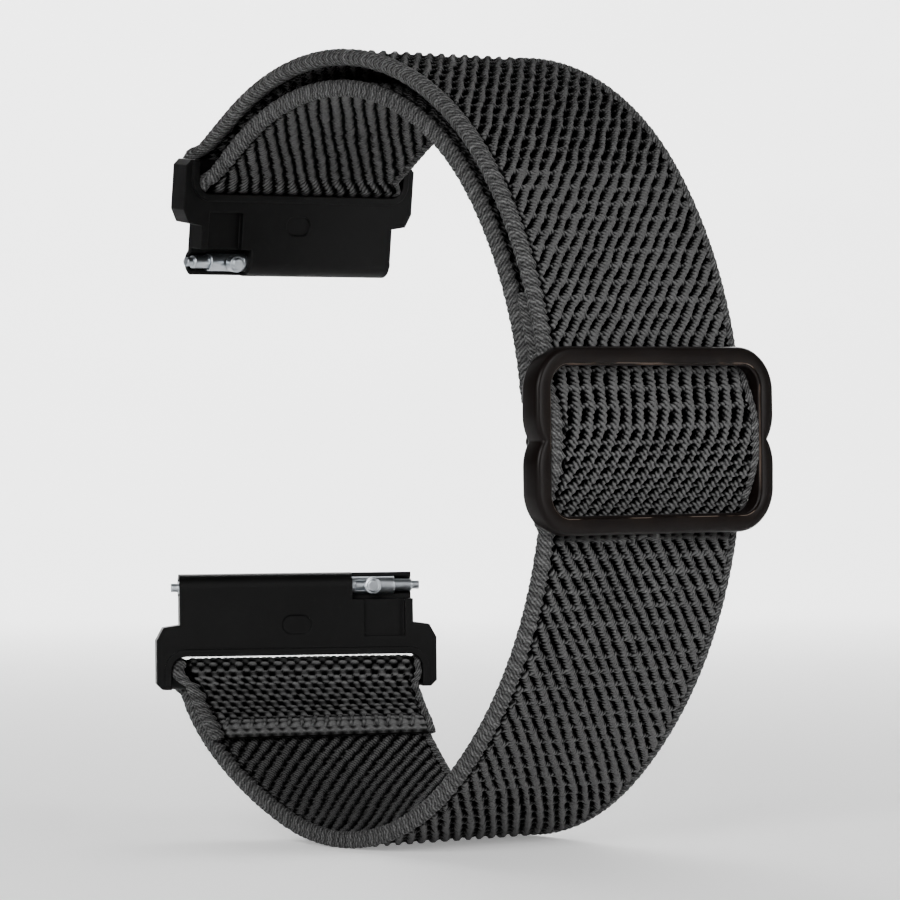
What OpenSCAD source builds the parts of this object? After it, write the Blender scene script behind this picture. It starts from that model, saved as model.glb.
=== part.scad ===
// Elastic nylon watch strap: one tape looped through a figure-eight slider,
// with a moulded quick-release connector folded into each end.
// Millimetres. X runs along the wrist, the slider is in front at -Y, and the
// watch case goes behind at +Y. The origin is on the wrist's axis, at mid-width,
// level with the middle of the slider.

/* [Tape] */
// Width of the elastic tape
tape_w = 20; // [18:0.5:21]
// Thickness of one ply
tape_t = 1.4; // [1.2:0.05:1.6]
// Thickness where the tape is pinched round a bar
pinch_t = 1.1; // [0.9:0.05:1.2]
// Space between the outer and the inner ply
ply_gap = 1.1; // [1:0.05:1.5]
// Slack between a bar and the tape folded round it
fold_slack = 0.1; // [0.05:0.05:0.2]

/* [Loop] */
// Radius of the front of the loop, to the outside of the tape
front_r = 35.3; // [33:0.1:38]
// Radius over the top, to the outside of the tape
top_r = 26.7; // [24:0.1:28]
// Radius under the bottom, to the outside of the tape
bottom_r = 23.4; // [21:0.1:25]
// Set-back of the centre of the front curve from the wrist's axis
front_back = 10; // [8:0.5:12]
// Angle that the front curve runs above the slider
front_up = 38; // [36:1:44]
// Angle that the front curve runs below the slider
front_down = 53; // [48:1:58]
// Angle, below level, at which the bottom curve ends
bottom_end = 76; // [70:1:82]

/* [Ends of the loop] */
// Direction of the upper connector's bar from the centre of the top curve
upper_bar_angle = 45; // [40:1:48]
// Extra reach of that bar past the two plies
upper_bar_lead = 0.5; // [0.4:0.1:1]
// Lean of the upper connector, its lug edge set back
upper_lean = 7; // [0:1:12]
// Lower bar, behind the wrist's axis
lower_bar_y = 22.4; // [19:0.2:23]
// Lower bar, below the wrist's axis
lower_bar_drop = 20.2; // [19:0.2:22]
// Sideways shift of the lower bar
lower_bar_shift = 0.6; // [0:0.1:1.5]
// Turn of the lower connector about the vertical, where the tape twists
lower_turn = 30; // [0:1:32]
// Lean of the tape where it reaches the lower bar
lower_lean = 17; // [10:1:25]
// Ease of the tape as it leaves the bottom curve
ease_in = 5; // [3:0.5:7]
// Ease of the tape as it reaches the lower bar
ease_out = 4; // [3.6:0.2:5]
// Length of tape sewn back on itself below the lower bar
tab_len = 7; // [6:0.5:9]

/* [Slider] */
// Clearance between each edge of the tape and the slider's side rail
slider_side_gap = 0.6; // [0.4:0.1:1.5]
// Height of the slider
slider_h = 14.6; // [14:0.2:17]
// Thickness of the slider
slider_t = 1.4; // [1.2:0.1:1.8]
// Width of the top and bottom bars
slider_bar = 1.25; // [1:0.05:1.5]
// Width of the side rails
slider_rail = 1.5; // [1.4:0.1:1.9]
// Radius of the slider's outer corners
slider_r = 3.6; // [2.6:0.1:4]
// Radius of the window's corners inside the slider
slider_window_r = 1.8; // [1.4:0.1:2]
// Overlap of the two lobes, which sets how deep the waist is
lobe_lap = 1.6; // [1.3:0.1:2]
// Diameter of the hidden centre bar
centre_bar_d = 1.2; // [1:0.1:1.5]
// Set-back of that bar behind the slider, held on two legs
centre_bar_back = 1.6; // [1.2:0.1:1.8]
// Height of the bead along the front edge
slider_bead = 0.3; // [0.1:0.1:0.4]
// Set-in of that bead from the edges
bead_inset = 0.35; // [0.2:0.05:0.5]
// Clearance between the tape and what slides on it
slide_gap = 0.2; // [0.15:0.05:0.4]
// Angle that the slider covers on the front curve, to where the tape is plain again
bridge_half = 12.5; // [12.5:0.5:15]
// Angle from the slider's middle to the top of the sewn loop
loop_top = 22; // [19:1:23]
// Thickness of the sewn tail between the plies
tail_t = 0.9; // [0.7:0.05:0.95]

/* [Connectors] */
// Lug width
lug_w = 20; // [18:1:22]
// Width over the ears
ear_w = 24; // [23.5:0.5:27]
// Length from the lug edge to the ends of the ears
conn_len = 9.8; // [9.4:0.1:11]
// Radius of the barrel along the lug edge
barrel_r = 1.15; // [1.1:0.05:1.4]
// Thickness of the plate
plate_t = 1.9; // [1.6:0.1:2.2]
// Distance from the lug edge to the shoulders
shoulder_at = 4.3; // [3.6:0.1:4.6]
// Height of the shoulder's slope
shoulder_rise = 1.3; // [0.8:0.1:1.6]
// Diameter of the bar that the tape is folded round
fold_bar_d = 1.4; // [1.2:0.1:1.6]
// Width of the window for the tape
window_w = 21.5; // [21.2:0.1:22.5]
// Space between the fold of tape and the edge of the window
window_gap = 0.2; // [0.15:0.05:0.5]
// Radius of the window's corners
window_r = 1.2; // [0.8:0.1:1.4]
// Height of the rim round the window
rim_h = 0.25; // [0.1:0.05:0.4]
// Width of that rim
rim_w = 0.6; // [0.4:0.05:0.7]
// Width of the fingernail recess
recess_w = 3.5; // [3:0.1:4]
// Height of the fingernail recess
recess_h = 3.2; // [2.6:0.1:3.4]
// Depth of the fingernail recess
recess_d = 0.5; // [0.3:0.1:0.8]
// Width of the oval on the plate, left plain
oval_w = 2.5; // [2:0.1:3]
// Height of that oval
oval_h = 1.6; // [1.2:0.1:1.7]
// Distance from the lug edge to the middle of that oval
oval_at = 4.4; // [4:0.1:4.6]
// Depth of that oval
oval_d = 0.15; // [0.1:0.05:0.3]

/* [Spring bars] */
// Diameter of the tube
tube_d = 1.5; // [1.4:0.05:1.6]
// Bore of the tube
tube_bore = 1.1; // [1.05:0.05:1.2]
// Diameter of the tips that enter the watch's lugs
tip_d = 0.75; // [0.6:0.05:0.8]
// Length of a tip outside the connector
tip_out = 0.65; // [0.5:0.05:0.9]
// Travel of the release lever
release_travel = 0.9; // [0.8:0.1:1.2]
// Distance from the connector's end to the tube's end, at the lever
stem_show = 1.5; // [1.2:0.1:1.8]
// Distance from the connector's end to the middle of the lever
lever_at = 3.5; // [3.2:0.1:4]
// Diameter of the lever's knob
knob_d = 1.4; // [1.2:0.1:1.6]
// Diameter of the lever's neck
neck_d = 0.6; // [0.5:0.05:0.65]
// Clearance between the drawn-back knob and the end of its notch
notch_gap = 0.1; // [0.05:0.05:0.3]
// Running clearance round the spring bar's parts
bar_gap = 0.05; // [0.03:0.01:0.08]
// Wire of the coil spring
wire_d = 0.12; // [0.1:0.01:0.14]
// Turns of the coil spring
spring_turns = 18; // [12:1:18]

/* [Stitching] */
// Thickness of the sewing thread
thread_d = 0.35; // [0.25:0.05:0.45]
// Length of one stitch
stitch_len = 1.2; // [0.9:0.1:1.4]
// Number of stitches in a row
stitches = 16; // [12:1:20]

/* [Hidden] */
$fn = 48;
step = 3; // degrees between the points of a curve
tiny = 0.01;
coil_sides = 6;
coil_steps = 8;
upper_pull = 2; // handles of the two stretches that run to the upper bar
upper_steps = 4;

// Radii of the middle of each ply
outer_mid = front_r - tape_t / 2;
inner_mid = outer_mid - tape_t - ply_gap;
tail_mid = outer_mid - tape_t / 2 - ply_gap / 2;

// Centres of the three curves of the loop, as [y, z]
front_c = [front_back, 0];
top_from = 180 - front_up;
bottom_from = 180 + front_down;
top_c = front_c + (front_r - top_r) * dir(top_from);
bottom_c = front_c + (front_r - bottom_r) * dir(bottom_from);
top_out = top_r - tape_t / 2;
top_in = top_out - tape_t - ply_gap;
bottom_mid = bottom_r - tape_t / 2;

// Fold of tape round a connector's bar
fold_in = fold_bar_d / 2 + fold_slack;
fold_mid = fold_in + pinch_t / 2;
fold_out = fold_in + pinch_t;

// Upper bar: between the plies, a little past where they would meet it
upper_reach = max(top_out - fold_mid, top_in + fold_mid) + upper_bar_lead;
upper_bar = top_c + upper_reach * dir(upper_bar_angle);
leave_out = upper_bar_angle + acos((top_out - fold_mid) / upper_reach);
leave_in = upper_bar_angle + acos((top_in + fold_mid) / upper_reach);

// Lower bar, and the end of the tape that reaches it
lower_bar = [lower_bar_shift, lower_bar_y, -lower_bar_drop];
reach_dir = [sin(lower_turn) * cos(lower_lean), cos(lower_turn) * cos(lower_lean), -sin(lower_lean)];
reach = lower_bar + fold_mid * reach_dir;
run_0 = bottom_c + bottom_mid * dir(-bottom_end);
run_1 = run_0 + ease_in * dir(90 - bottom_end);
run_3 = [reach[1], reach[2]];
run_2 = run_3 - ease_out * dir(90 - lower_lean);

// Tab: the length over which it closes on the run, and how far it lies from it
tab_join = 2.6;
tab_lie = 0.05;

// Height of the stitches over the twisted tab and over the curved loop
seam_lift = 0.2;
loop_seam_lift = 0.03;

// Slider: distances are from the centre of the front curve
window_h = slider_h - 2 * slider_bar;
slider_window_w = tape_w + 2 * slider_side_gap;
slider_w = slider_window_w + 2 * slider_rail;
slider_in = sqrt(pow(front_r, 2) - pow(window_h / 2, 2)) + slide_gap;
centre_at = slider_in + centre_bar_d / 2 - centre_bar_back;
loop_mid = centre_bar_d / 2 + fold_slack + pinch_t / 2;
bridge_lift = centre_at + loop_mid + fold_slack + pinch_t - outer_mid;
bridge_top = 1;
bridge_foot = window_h / 2 - 0.05;
bridge_end = outer_mid * sin(bridge_half);
loop_turn = 7.5; // degrees above the slider's middle where the inner ply leaves its curve
tail_turn = 12; // degrees above it where the sewn tail lies between the plies
tail_short = 2; // degrees by which the tail stops short of the top of the loop
loop_pull = 2;
leg_t = 0.6; // the legs that hold the centre bar
leg_foot = 2.4;

// Connector, from the barrel's axis
fold_bar_at = conn_len - fold_bar_d / 2 - barrel_r;
window_at = fold_bar_at - fold_out - window_gap;
plate_front = -barrel_r;
ear_wall = (ear_w - window_w) / 2;
ear_cut = 0.5;
shoulder_in = 0.6;
recess_in = 0.7; // from the end of the connector to the recess
recess_z = 1.1;
oval_z = oval_at - barrel_r;
notch_w = lever_at + release_travel + knob_d / 2 + notch_gap;
notch_past = 0.3; // the notch goes this far behind the barrel's axis
reach_out = 5; // cuts start this far outside

// Spring bar, along its own axis with the lever at the negative end
tube_inset = 0.15;
slip_gap = 0.02; // between the tube and what slides in it
tube_from = stem_show - lug_w / 2;
tube_to = lug_w / 2 - tube_inset;
plug_len = 1.8;
plug_from = tube_to - plug_len;
lever_x = lever_at - lug_w / 2;
piston_r = tube_bore / 2 - slip_gap;
piston_to = lever_x + release_travel + neck_d;
knob_gap = 0.15;
slot_w = neck_d + 4 * bar_gap;
slot_to = lever_x + release_travel + neck_d / 2 + 3 * bar_gap;
knob_from = tube_d / 2 + knob_gap;
knob_t = 0.75;
knob_cap_d = 0.7 * knob_d;
knob_cap_t = 0.2;
coil_r = tube_bore / 2 - wire_d / 2 - 0.05;

// A unit vector in the loop's plane, at an angle from +Y
function dir(a) = [cos(a), sin(a)];
// From 0 to 1, level at both ends
function smooth(u) = u * u * (3 - 2 * u);

// Stations along a tape: [y, z, heading, thickness]
function arc(c, r, from, to, t) =
  let (n = max(2, ceil(abs(to - from) / step)), turn = to > from ? 90 : -90)
  [for (i = [0:n]) let (a = from + (to - from) * i / n)
    [c[0] + r * cos(a), c[1] + r * sin(a), a + turn, t]];
function bez(p, u) =
  pow(1 - u, 3) * p[0] + 3 * u * pow(1 - u, 2) * p[1] + 3 * u * u * (1 - u) * p[2] + pow(u, 3) * p[3];
function bez_way(p, u) =
  pow(1 - u, 2) * (p[1] - p[0]) + 2 * u * (1 - u) * (p[2] - p[1]) + u * u * (p[3] - p[2]);
function curve(p, n, t0, t1) =
  [for (i = [0:n]) let (u = i / n, q = bez(p, u), w = bez_way(p, u))
    [q[0], q[1], atan2(w[1], w[0]), t0 + (t1 - t0) * smooth(u)]];
// All but the first station, for joining one stretch to the next
function rest(s) = [for (i = [1:len(s) - 1]) s[i]];

// Side of a tape at each station
function side(s, k) = [for (q = s) [q[0], q[1]] + k * q[3] / 2 * [-sin(q[2]), cos(q[2])]];

// A flat-wise bent tape that keeps its width along X
module tape(s, w = tape_w) {
  left = side(s, 1);
  right = side(s, -1);
  rotate([90, 0, 90])
    linear_extrude(height = w, center = true)
      polygon(concat(left, [for (i = [len(right) - 1:-1:0]) right[i]]));
}

// A closed solid through four-cornered rings
module loft(rings) {
  n = len(rings);
  points = [for (r = rings) each r];
  faces = concat(
    [[0, 1, 2, 3]],
    [for (i = [0:n - 2], k = [0:3]) let (a = 4 * i, b = (k + 1) % 4) [a + b, a + k, a + 4 + k]],
    [for (i = [0:n - 2], k = [0:3]) let (a = 4 * i, b = (k + 1) % 4) [a + b, a + 4 + k, a + 4 + b]],
    [[4 * n - 1, 4 * n - 2, 4 * n - 3, 4 * n - 4]]
  );
  polyhedron(points = points, faces = faces, convexity = 6);
}

// Stretch of tape from the bottom curve to the lower bar, at u from 0 to 1
function run_at(u) =
  let (p = [run_0, run_1, run_2, run_3], q = bez(p, u), w = bez_way(p, u))
  [reach[0] * smooth(u), q[0], q[1], atan2(w[1], w[0]), -lower_turn * smooth(u)];
// Unit vectors across the tape and out of its outer face, at a heading and a turn
function across(turn) = [cos(turn), sin(turn), 0];
function out_of(a, turn) = [-sin(turn) * sin(a), cos(turn) * sin(a), -cos(a)];
// Ring of a twisted tape, its middle set out from the run by off
function ring(q, off, t) =
  let (c = [q[0], q[1], q[2]], w = across(q[4]) * tape_w / 2, o = out_of(q[3], q[4]))
  [c - w + (off - t / 2) * o, c + w + (off - t / 2) * o, c + w + (off + t / 2) * o, c - w + (off + t / 2) * o];

// Hairpin over the top: the outer ply, the fold round the upper bar, the inner ply
module tape_top() {
  out_0 = top_c + top_out * dir(leave_out);
  out_3 = upper_bar + fold_mid * dir(leave_out);
  out_pull = upper_pull * dir(leave_out - 90);
  in_0 = upper_bar - fold_mid * dir(leave_in);
  in_3 = top_c + top_in * dir(leave_in);
  in_pull = upper_pull * dir(leave_in + 90);
  color([0.20, 0.20, 0.20])
    tape(concat(
      arc(top_c, top_out, top_from, leave_out, tape_t),
      rest(curve([out_0, out_0 + out_pull, out_3 - out_pull, out_3], upper_steps, tape_t, pinch_t)),
      rest(arc(upper_bar, fold_mid, leave_out, leave_in - 180, pinch_t)),
      rest(curve([in_0, in_0 + in_pull, in_3 - in_pull, in_3], upper_steps, pinch_t, tape_t)),
      rest(arc(top_c, top_in, leave_in, top_from, tape_t))
    ));
}

module tape_outer_front() {
  color([0.22, 0.22, 0.22])
    tape(arc(front_c, outer_mid, top_from, 180 - bridge_half, tape_t));
}

module tape_inner_front() {
  color([0.18, 0.18, 0.18])
    tape(arc(front_c, inner_mid, top_from, 180 - loop_top, tape_t));
}

module tape_lower_front() {
  color([0.22, 0.22, 0.22])
    tape(arc(front_c, outer_mid, 180 + bridge_half, bottom_from, tape_t));
}

module tape_bottom() {
  color([0.20, 0.20, 0.20])
    tape(arc(bottom_c, bottom_mid, bottom_from, 360 - bottom_end, tape_t));
}

module tape_lower_end() {
  n = 18;
  color([0.22, 0.22, 0.22])
    loft([for (i = [0:n]) ring(run_at(i / n), 0, run_t(i / n))]);
}

// Length of the run from u to the lower bar, and the u at which it is s
function run_from(u) =
  let (n = 20, p = [for (i = [0:n]) run_at(u + (1 - u) * i / n)])
  sum([for (i = [1:n]) norm([for (k = [0:2]) p[i][k] - p[i - 1][k]])]);
function sum(v, i = 0) = i < len(v) ? v[i] + sum(v, i + 1) : 0;
function run_back(s, low = 0, high = 1, n = 14) =
  n == 0 ? (low + high) / 2 :
  let (u = (low + high) / 2) run_from(u) > s ? run_back(s, u, high, n - 1) : run_back(s, low, u, n - 1);
// Thickness of the run, which thins at the bar
function run_t(u) = tape_t + (pinch_t - tape_t) * smooth(max(0, 1 - run_from(u) / tab_join));
// Set-in of the middle of the tab from the middle of the run
function tab_off(u) =
  let (k = max(0, min(1, (run_from(u) - fold_bar_d / 4) / tab_join)))
  2 * fold_mid + (run_t(u) + tab_lie - 2 * fold_mid) * smooth(k);

// Fold round the lower bar and the tab sewn back on the run
module tape_lower_fold() {
  turns = 12;
  n = 16;
  fold = [for (i = [0:turns]) let (a = -lower_lean + 180 * i / turns)
    let (o = [sin(lower_turn) * cos(a), cos(lower_turn) * cos(a), sin(a)], w = across(-lower_turn) * tape_w / 2)
    [
      lower_bar - w + fold_in * o, lower_bar + w + fold_in * o,
      lower_bar + w + fold_out * o, lower_bar - w + fold_out * o
    ]];
  tab = [for (i = [1:n]) let (u = run_back(tab_len * i / n))
    let (r = ring(run_at(u), -tab_off(u), run_t(u))) [r[3], r[2], r[1], r[0]]];
  color([0.20, 0.20, 0.20])
    loft(concat(fold, tab));
}

// Row of stitches on the inner face of a tape, at [x, y, z, heading, turn]
module stitch_row(q, off) {
  translate([q[0], q[1], q[2]])
    rotate([0, 0, q[4]])
      rotate([q[3], 0, 0])
        for (i = [0:stitches - 1])
          translate([(i - (stitches - 1) / 2) * (tape_w - 2) / stitches, 0, off])
            rotate([0, 0, 18])
              cube([thread_d, stitch_len, thread_d], center = true);
}

module tab_seam() {
  u = run_back(tab_len - stitch_len);
  color([0.30, 0.30, 0.30])
    stitch_row(run_at(u), tab_off(u) + run_t(u) / 2 + thread_d / 2 + seam_lift);
}

// Height of the bridge of tape over the slider's centre bar, 1 at the top
function crest(z) =
  let (a = abs(z))
  a < bridge_top ? 1 : a > bridge_foot ? 0 :
  (1 + cos(180 * (a - bridge_top) / (bridge_foot - bridge_top))) / 2;
function bridge_y(z) = front_c[0] - sqrt(pow(outer_mid, 2) - z * z) - bridge_lift * crest(z);
// Heading of the bridge as it runs down over the bar, and its thickness
function bridge_way(z) = atan2(-2 * tiny, bridge_y(z - tiny) - bridge_y(z + tiny));
function bridge_t(z) = tape_t + (pinch_t - tape_t) * crest(z);

module tape_bridge() {
  n = 36;
  color([0.24, 0.24, 0.24])
    tape([for (i = [0:n]) let (z = bridge_end * (1 - 2 * i / n))
      [bridge_y(z), z, i == 0 ? 270 - bridge_half : i == n ? 270 + bridge_half : bridge_way(z), bridge_t(z)]]);
}

// The end of the tape, looped round the centre bar and sewn back between the plies
module tape_slider_loop() {
  bar = front_c - [centre_at, 0];
  n = 8;
  from = front_c + inner_mid * dir(180 - loop_turn);
  onto = bar + [loop_mid, 0];
  down = [from, from + loop_pull * dir(-90 - loop_turn), onto + [0, loop_pull], onto];
  tail_end = outer_mid * sin(tail_turn);
  back = [for (i = [1:2 * n]) let (z = tail_end * i / (2 * n), a = bridge_way(z), k = i / (2 * n))
    let (t = pinch_t + (tail_t - pinch_t) * smooth(k), lap = (bridge_t(z) + t) / 2 + fold_slack)
    let (off = lap + (outer_mid - tail_mid - (tape_t + tail_t) / 2 - fold_slack) * smooth(k))
    [bridge_y(z) + off * cos(a + 90), z + off * sin(a + 90), a + 180, t]];
  color([0.18, 0.18, 0.18])
    tape(concat(
      arc(front_c, inner_mid, 180 - loop_top, 180 - loop_turn, tape_t),
      rest(curve(down, n, tape_t, pinch_t)),
      rest(arc(bar, loop_mid, 0, -180, pinch_t)),
      back,
      rest(arc(front_c, tail_mid, 180 - tail_turn, 180 - loop_top + tail_short, tail_t))
    ));
}

module loop_seam() {
  a = 180 - (loop_top + tail_turn) / 2;
  p = front_c + inner_mid * dir(a);
  color([0.30, 0.30, 0.30])
    stitch_row([0, p[0], p[1], a + 90, 0], tape_t / 2 + thread_d / 2 + loop_seam_lift);
}

// A rectangle with round corners
module rounded(w, h, r) {
  square([w, h - 2 * r], center = true);
  square([w - 2 * r, h], center = true);
  for (x = [-1, 1], y = [-1, 1])
    translate([x * (w / 2 - r), y * (h / 2 - r)])
      circle(r = r);
}

// Outline of the slider, set in by e: two round-cornered lobes that lap at the waist
module eight(e) {
  lobe_h = slider_h / 2 + lobe_lap;
  for (k = [-1, 1])
    translate([0, k * (slider_h / 2 - lobe_h / 2)])
      rounded(slider_w - 2 * e, lobe_h - 2 * e, slider_r - e);
}

module slider_frame() {
  color([0.09, 0.08, 0.07])
    translate([0, front_back - slider_in, 0])
      rotate([90, 0, 0]) {
        difference() {
          union() {
            linear_extrude(height = slider_t - slider_bead)
              eight(0);
            linear_extrude(height = slider_t)
              eight(bead_inset);
          }
          translate([0, 0, -1])
            linear_extrude(height = slider_t + 2)
              rounded(slider_window_w, window_h, slider_window_r);
          translate([0, 0, slider_t - slider_bead])
            linear_extrude(height = 1)
              rounded(slider_window_w + 2 * bead_inset, window_h + 2 * bead_inset, slider_window_r + bead_inset);
        }
        centre_bar();
      }
}

// Centre bar behind the slider, on a leg from each side rail
module centre_bar() {
  back = centre_bar_d / 2 - centre_bar_back;
  translate([0, 0, back])
    rotate([0, 90, 0])
      cylinder(d = centre_bar_d, h = slider_window_w + leg_t, center = true);
  for (x = [-1, 1])
    translate([x * (slider_window_w + leg_t) / 2, 0, 0])
      rotate([90, 0, 90])
        linear_extrude(height = leg_t, center = true) {
          polygon([
            [-leg_foot / 2, slider_t / 2], [leg_foot / 2, slider_t / 2],
            [centre_bar_d / 2, back], [-centre_bar_d / 2, back]
          ]);
          translate([0, back])
            circle(d = centre_bar_d);
        }
}

// Outline of the plate, from the barrel's axis up
module plate_outline() {
  s = shoulder_at - barrel_r;
  top = conn_len - barrel_r;
  polygon([
    [-lug_w / 2, 0], [-lug_w / 2, s], [-ear_w / 2 + shoulder_in, s + shoulder_in / 3], [-ear_w / 2, s + shoulder_rise],
    [-ear_w / 2, top - ear_cut], [-ear_w / 2 + ear_cut, top], [ear_w / 2 - ear_cut, top],
    [ear_w / 2, top - ear_cut], [ear_w / 2, s + shoulder_rise], [ear_w / 2 - shoulder_in, s + shoulder_in / 3],
    [lug_w / 2, s], [lug_w / 2, 0]
  ]);
}

// Window for the tape, open at the far side, set out by e
module window_outline(e) {
  w = window_w + 2 * e;
  r = window_r + e;
  far = conn_len;
  translate([-w / 2 + r, window_at - e])
    square([w - 2 * r, far]);
  translate([-w / 2, window_at - e + r])
    square([w, far]);
  for (x = [-1, 1])
    translate([x * (w / 2 - r), window_at - e + r])
      circle(r = r);
}

// Moulded connector, its barrel along X and its ears up
module connector() {
  notch_to = notch_w - lug_w / 2;
  difference() {
    union() {
      rotate([0, 90, 0])
        cylinder(r = barrel_r, h = lug_w, center = true);
      translate([0, plate_t + plate_front, 0])
        rotate([90, 0, 0])
          linear_extrude(height = plate_t)
            difference() {
              plate_outline();
              window_outline(0);
            }
      translate([0, plate_front + tiny, 0])
        rotate([90, 0, 0])
          linear_extrude(height = rim_h + tiny)
            difference() {
              intersection() {
                window_outline(rim_w);
                plate_outline();
              }
              window_outline(0);
            }
    }
    rotate([0, 90, 0])
      cylinder(d = tube_d + 2 * bar_gap, h = lug_w + 2, center = true);
    translate([-lug_w, -reach_out, -reach_out])
      cube([lug_w + notch_to, reach_out + notch_past, reach_out + barrel_r]);
    translate([recess_in - lug_w / 2, plate_front - 1, recess_z])
      cube([recess_w, 1 + recess_d, recess_h]);
    translate([0, plate_front + oval_d, oval_z])
      rotate([90, 0, 0])
        linear_extrude(height = 1) {
          square([oval_w - oval_h, oval_h], center = true);
          for (x = [-1, 1])
            translate([x * (oval_w - oval_h) / 2, 0])
              circle(d = oval_h);
        }
  }
  translate([0, 0, fold_bar_at])
    rotate([0, 90, 0])
      cylinder(d = fold_bar_d, h = ear_w - ear_wall, center = true);
}

// A round bar along X, from one place to another
module along(d, from, to) {
  translate([from, 0, 0])
    rotate([0, 90, 0])
      cylinder(d = d, h = to - from);
}

module bar_tube() {
  difference() {
    along(tube_d, tube_from, tube_to);
    along(tube_bore, tube_from - 1, tube_to + 1);
    translate([lever_x - slot_w / 2, -2, -slot_w / 2])
      cube([slot_to - lever_x + slot_w / 2, 2, slot_w]);
  }
}

module fixed_tip() {
  along(2 * piston_r, plug_from, lug_w / 2);
  along(tip_d, lug_w / 2 - tiny, lug_w / 2 + tip_out);
}

module plunger() {
  along(tip_d, -lug_w / 2 - tip_out, tiny - lug_w / 2);
  along(2 * piston_r, -lug_w / 2, piston_to);
}

module release_lever() {
  rotate([90, 0, 0])
    translate([lever_x, 0, piston_r]) {
      cylinder(d = neck_d, h = knob_from - piston_r + tiny);
      translate([0, 0, knob_from - piston_r])
        cylinder(d = knob_d, h = knob_t);
      translate([0, 0, knob_from - piston_r + knob_t - tiny])
        cylinder(d = knob_cap_d, h = knob_cap_t + tiny);
    }
}

// Coil spring between the plunger and the fixed tip, one unbroken wire
module coil() {
  from = piston_to + wire_d;
  to = plug_from - wire_d;
  n = spring_turns * coil_steps;
  loft_round([for (i = [0:n]) let (a = 360 * i / coil_steps, x = from + (to - from) * i / n)
    [for (k = [0:coil_sides - 1]) let (b = -360 * k / coil_sides, r = coil_r + wire_d / 2 * cos(b))
      [x + wire_d / 2 * sin(b), r * cos(a), r * sin(a)]]]);
}

// A closed solid through rings of coil_sides points
module loft_round(rings) {
  n = len(rings);
  m = coil_sides;
  faces = concat(
    [[for (k = [0:m - 1]) k]],
    [for (i = [0:n - 2], k = [0:m - 1]) let (b = (k + 1) % m) [m * i + b, m * i + k, m * (i + 1) + k]],
    [for (i = [0:n - 2], k = [0:m - 1]) let (b = (k + 1) % m) [m * i + b, m * (i + 1) + k, m * (i + 1) + b]],
    [[for (k = [m - 1:-1:0]) m * (n - 1) + k]]
  );
  polyhedron(points = [for (r = rings) each r], faces = faces, convexity = 10);
}

// Places a piece in the upper connector: barrel down, ears at the upper bar
module at_upper() {
  translate([0, upper_bar[0], upper_bar[1]])
    rotate([upper_lean, 0, 0])
      translate([0, 0, -fold_bar_at])
        children();
}

// Places a piece in the lower connector: the same moulding turned end over end
module at_lower() {
  translate(lower_bar)
    rotate([0, 0, -lower_turn])
      translate([0, 0, fold_bar_at])
        rotate([0, 180, 0])
          children();
}

module upper_connector() { color([0.06, 0.06, 0.06]) at_upper() connector(); }
module upper_bar_tube() { color([0.75, 0.76, 0.78]) at_upper() bar_tube(); }
module upper_fixed_tip() { color([0.75, 0.76, 0.78]) at_upper() fixed_tip(); }
module upper_bar_spring() { color([0.60, 0.60, 0.62]) at_upper() coil(); }
module upper_plunger() { color([0.75, 0.76, 0.78]) at_upper() plunger(); }
module upper_release_lever() { color([0.80, 0.80, 0.82]) at_upper() release_lever(); }
module lower_connector() { color([0.06, 0.06, 0.06]) at_lower() connector(); }
module lower_bar_tube() { color([0.75, 0.76, 0.78]) at_lower() bar_tube(); }
module lower_fixed_tip() { color([0.75, 0.76, 0.78]) at_lower() fixed_tip(); }
module lower_bar_spring() { color([0.60, 0.60, 0.62]) at_lower() coil(); }
module lower_plunger() { color([0.75, 0.76, 0.78]) at_lower() plunger(); }
module lower_release_lever() { color([0.80, 0.80, 0.82]) at_lower() release_lever(); }

tape_top();
tape_outer_front();
tape_inner_front();
tape_lower_front();
tape_bottom();
tape_lower_end();
tape_lower_fold();
tab_seam();
slider_frame();
tape_bridge();
tape_slider_loop();
loop_seam();
upper_connector();
upper_bar_tube();
upper_fixed_tip();
upper_bar_spring();
upper_plunger();
upper_release_lever();
lower_connector();
lower_bar_tube();
lower_fixed_tip();
lower_bar_spring();
lower_plunger();
lower_release_lever();
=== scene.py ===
import math

import bpy
import numpy as np
from mathutils import Matrix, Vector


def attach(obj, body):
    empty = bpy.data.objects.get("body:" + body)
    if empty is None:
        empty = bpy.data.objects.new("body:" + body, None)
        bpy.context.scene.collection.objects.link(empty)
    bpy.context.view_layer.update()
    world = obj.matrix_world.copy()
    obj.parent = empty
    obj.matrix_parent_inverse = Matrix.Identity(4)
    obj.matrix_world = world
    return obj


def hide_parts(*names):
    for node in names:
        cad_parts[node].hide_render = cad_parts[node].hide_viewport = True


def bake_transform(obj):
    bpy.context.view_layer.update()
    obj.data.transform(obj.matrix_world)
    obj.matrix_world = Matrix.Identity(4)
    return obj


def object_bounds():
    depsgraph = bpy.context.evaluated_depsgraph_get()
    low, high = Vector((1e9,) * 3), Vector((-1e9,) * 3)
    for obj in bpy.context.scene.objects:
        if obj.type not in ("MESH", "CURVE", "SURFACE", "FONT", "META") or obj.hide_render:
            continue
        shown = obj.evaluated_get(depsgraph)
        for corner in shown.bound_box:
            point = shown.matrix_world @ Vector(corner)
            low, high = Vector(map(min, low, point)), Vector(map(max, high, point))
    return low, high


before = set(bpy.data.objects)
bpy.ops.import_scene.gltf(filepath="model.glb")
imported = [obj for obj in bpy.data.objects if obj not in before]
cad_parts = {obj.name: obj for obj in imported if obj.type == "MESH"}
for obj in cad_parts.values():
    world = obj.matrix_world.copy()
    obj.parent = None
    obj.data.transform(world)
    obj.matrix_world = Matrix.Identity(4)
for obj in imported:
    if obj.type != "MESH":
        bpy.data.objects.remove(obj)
CAD_BOX = [list(corner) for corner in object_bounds()]

MM = 0.001
TINY = 1e-6

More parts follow.
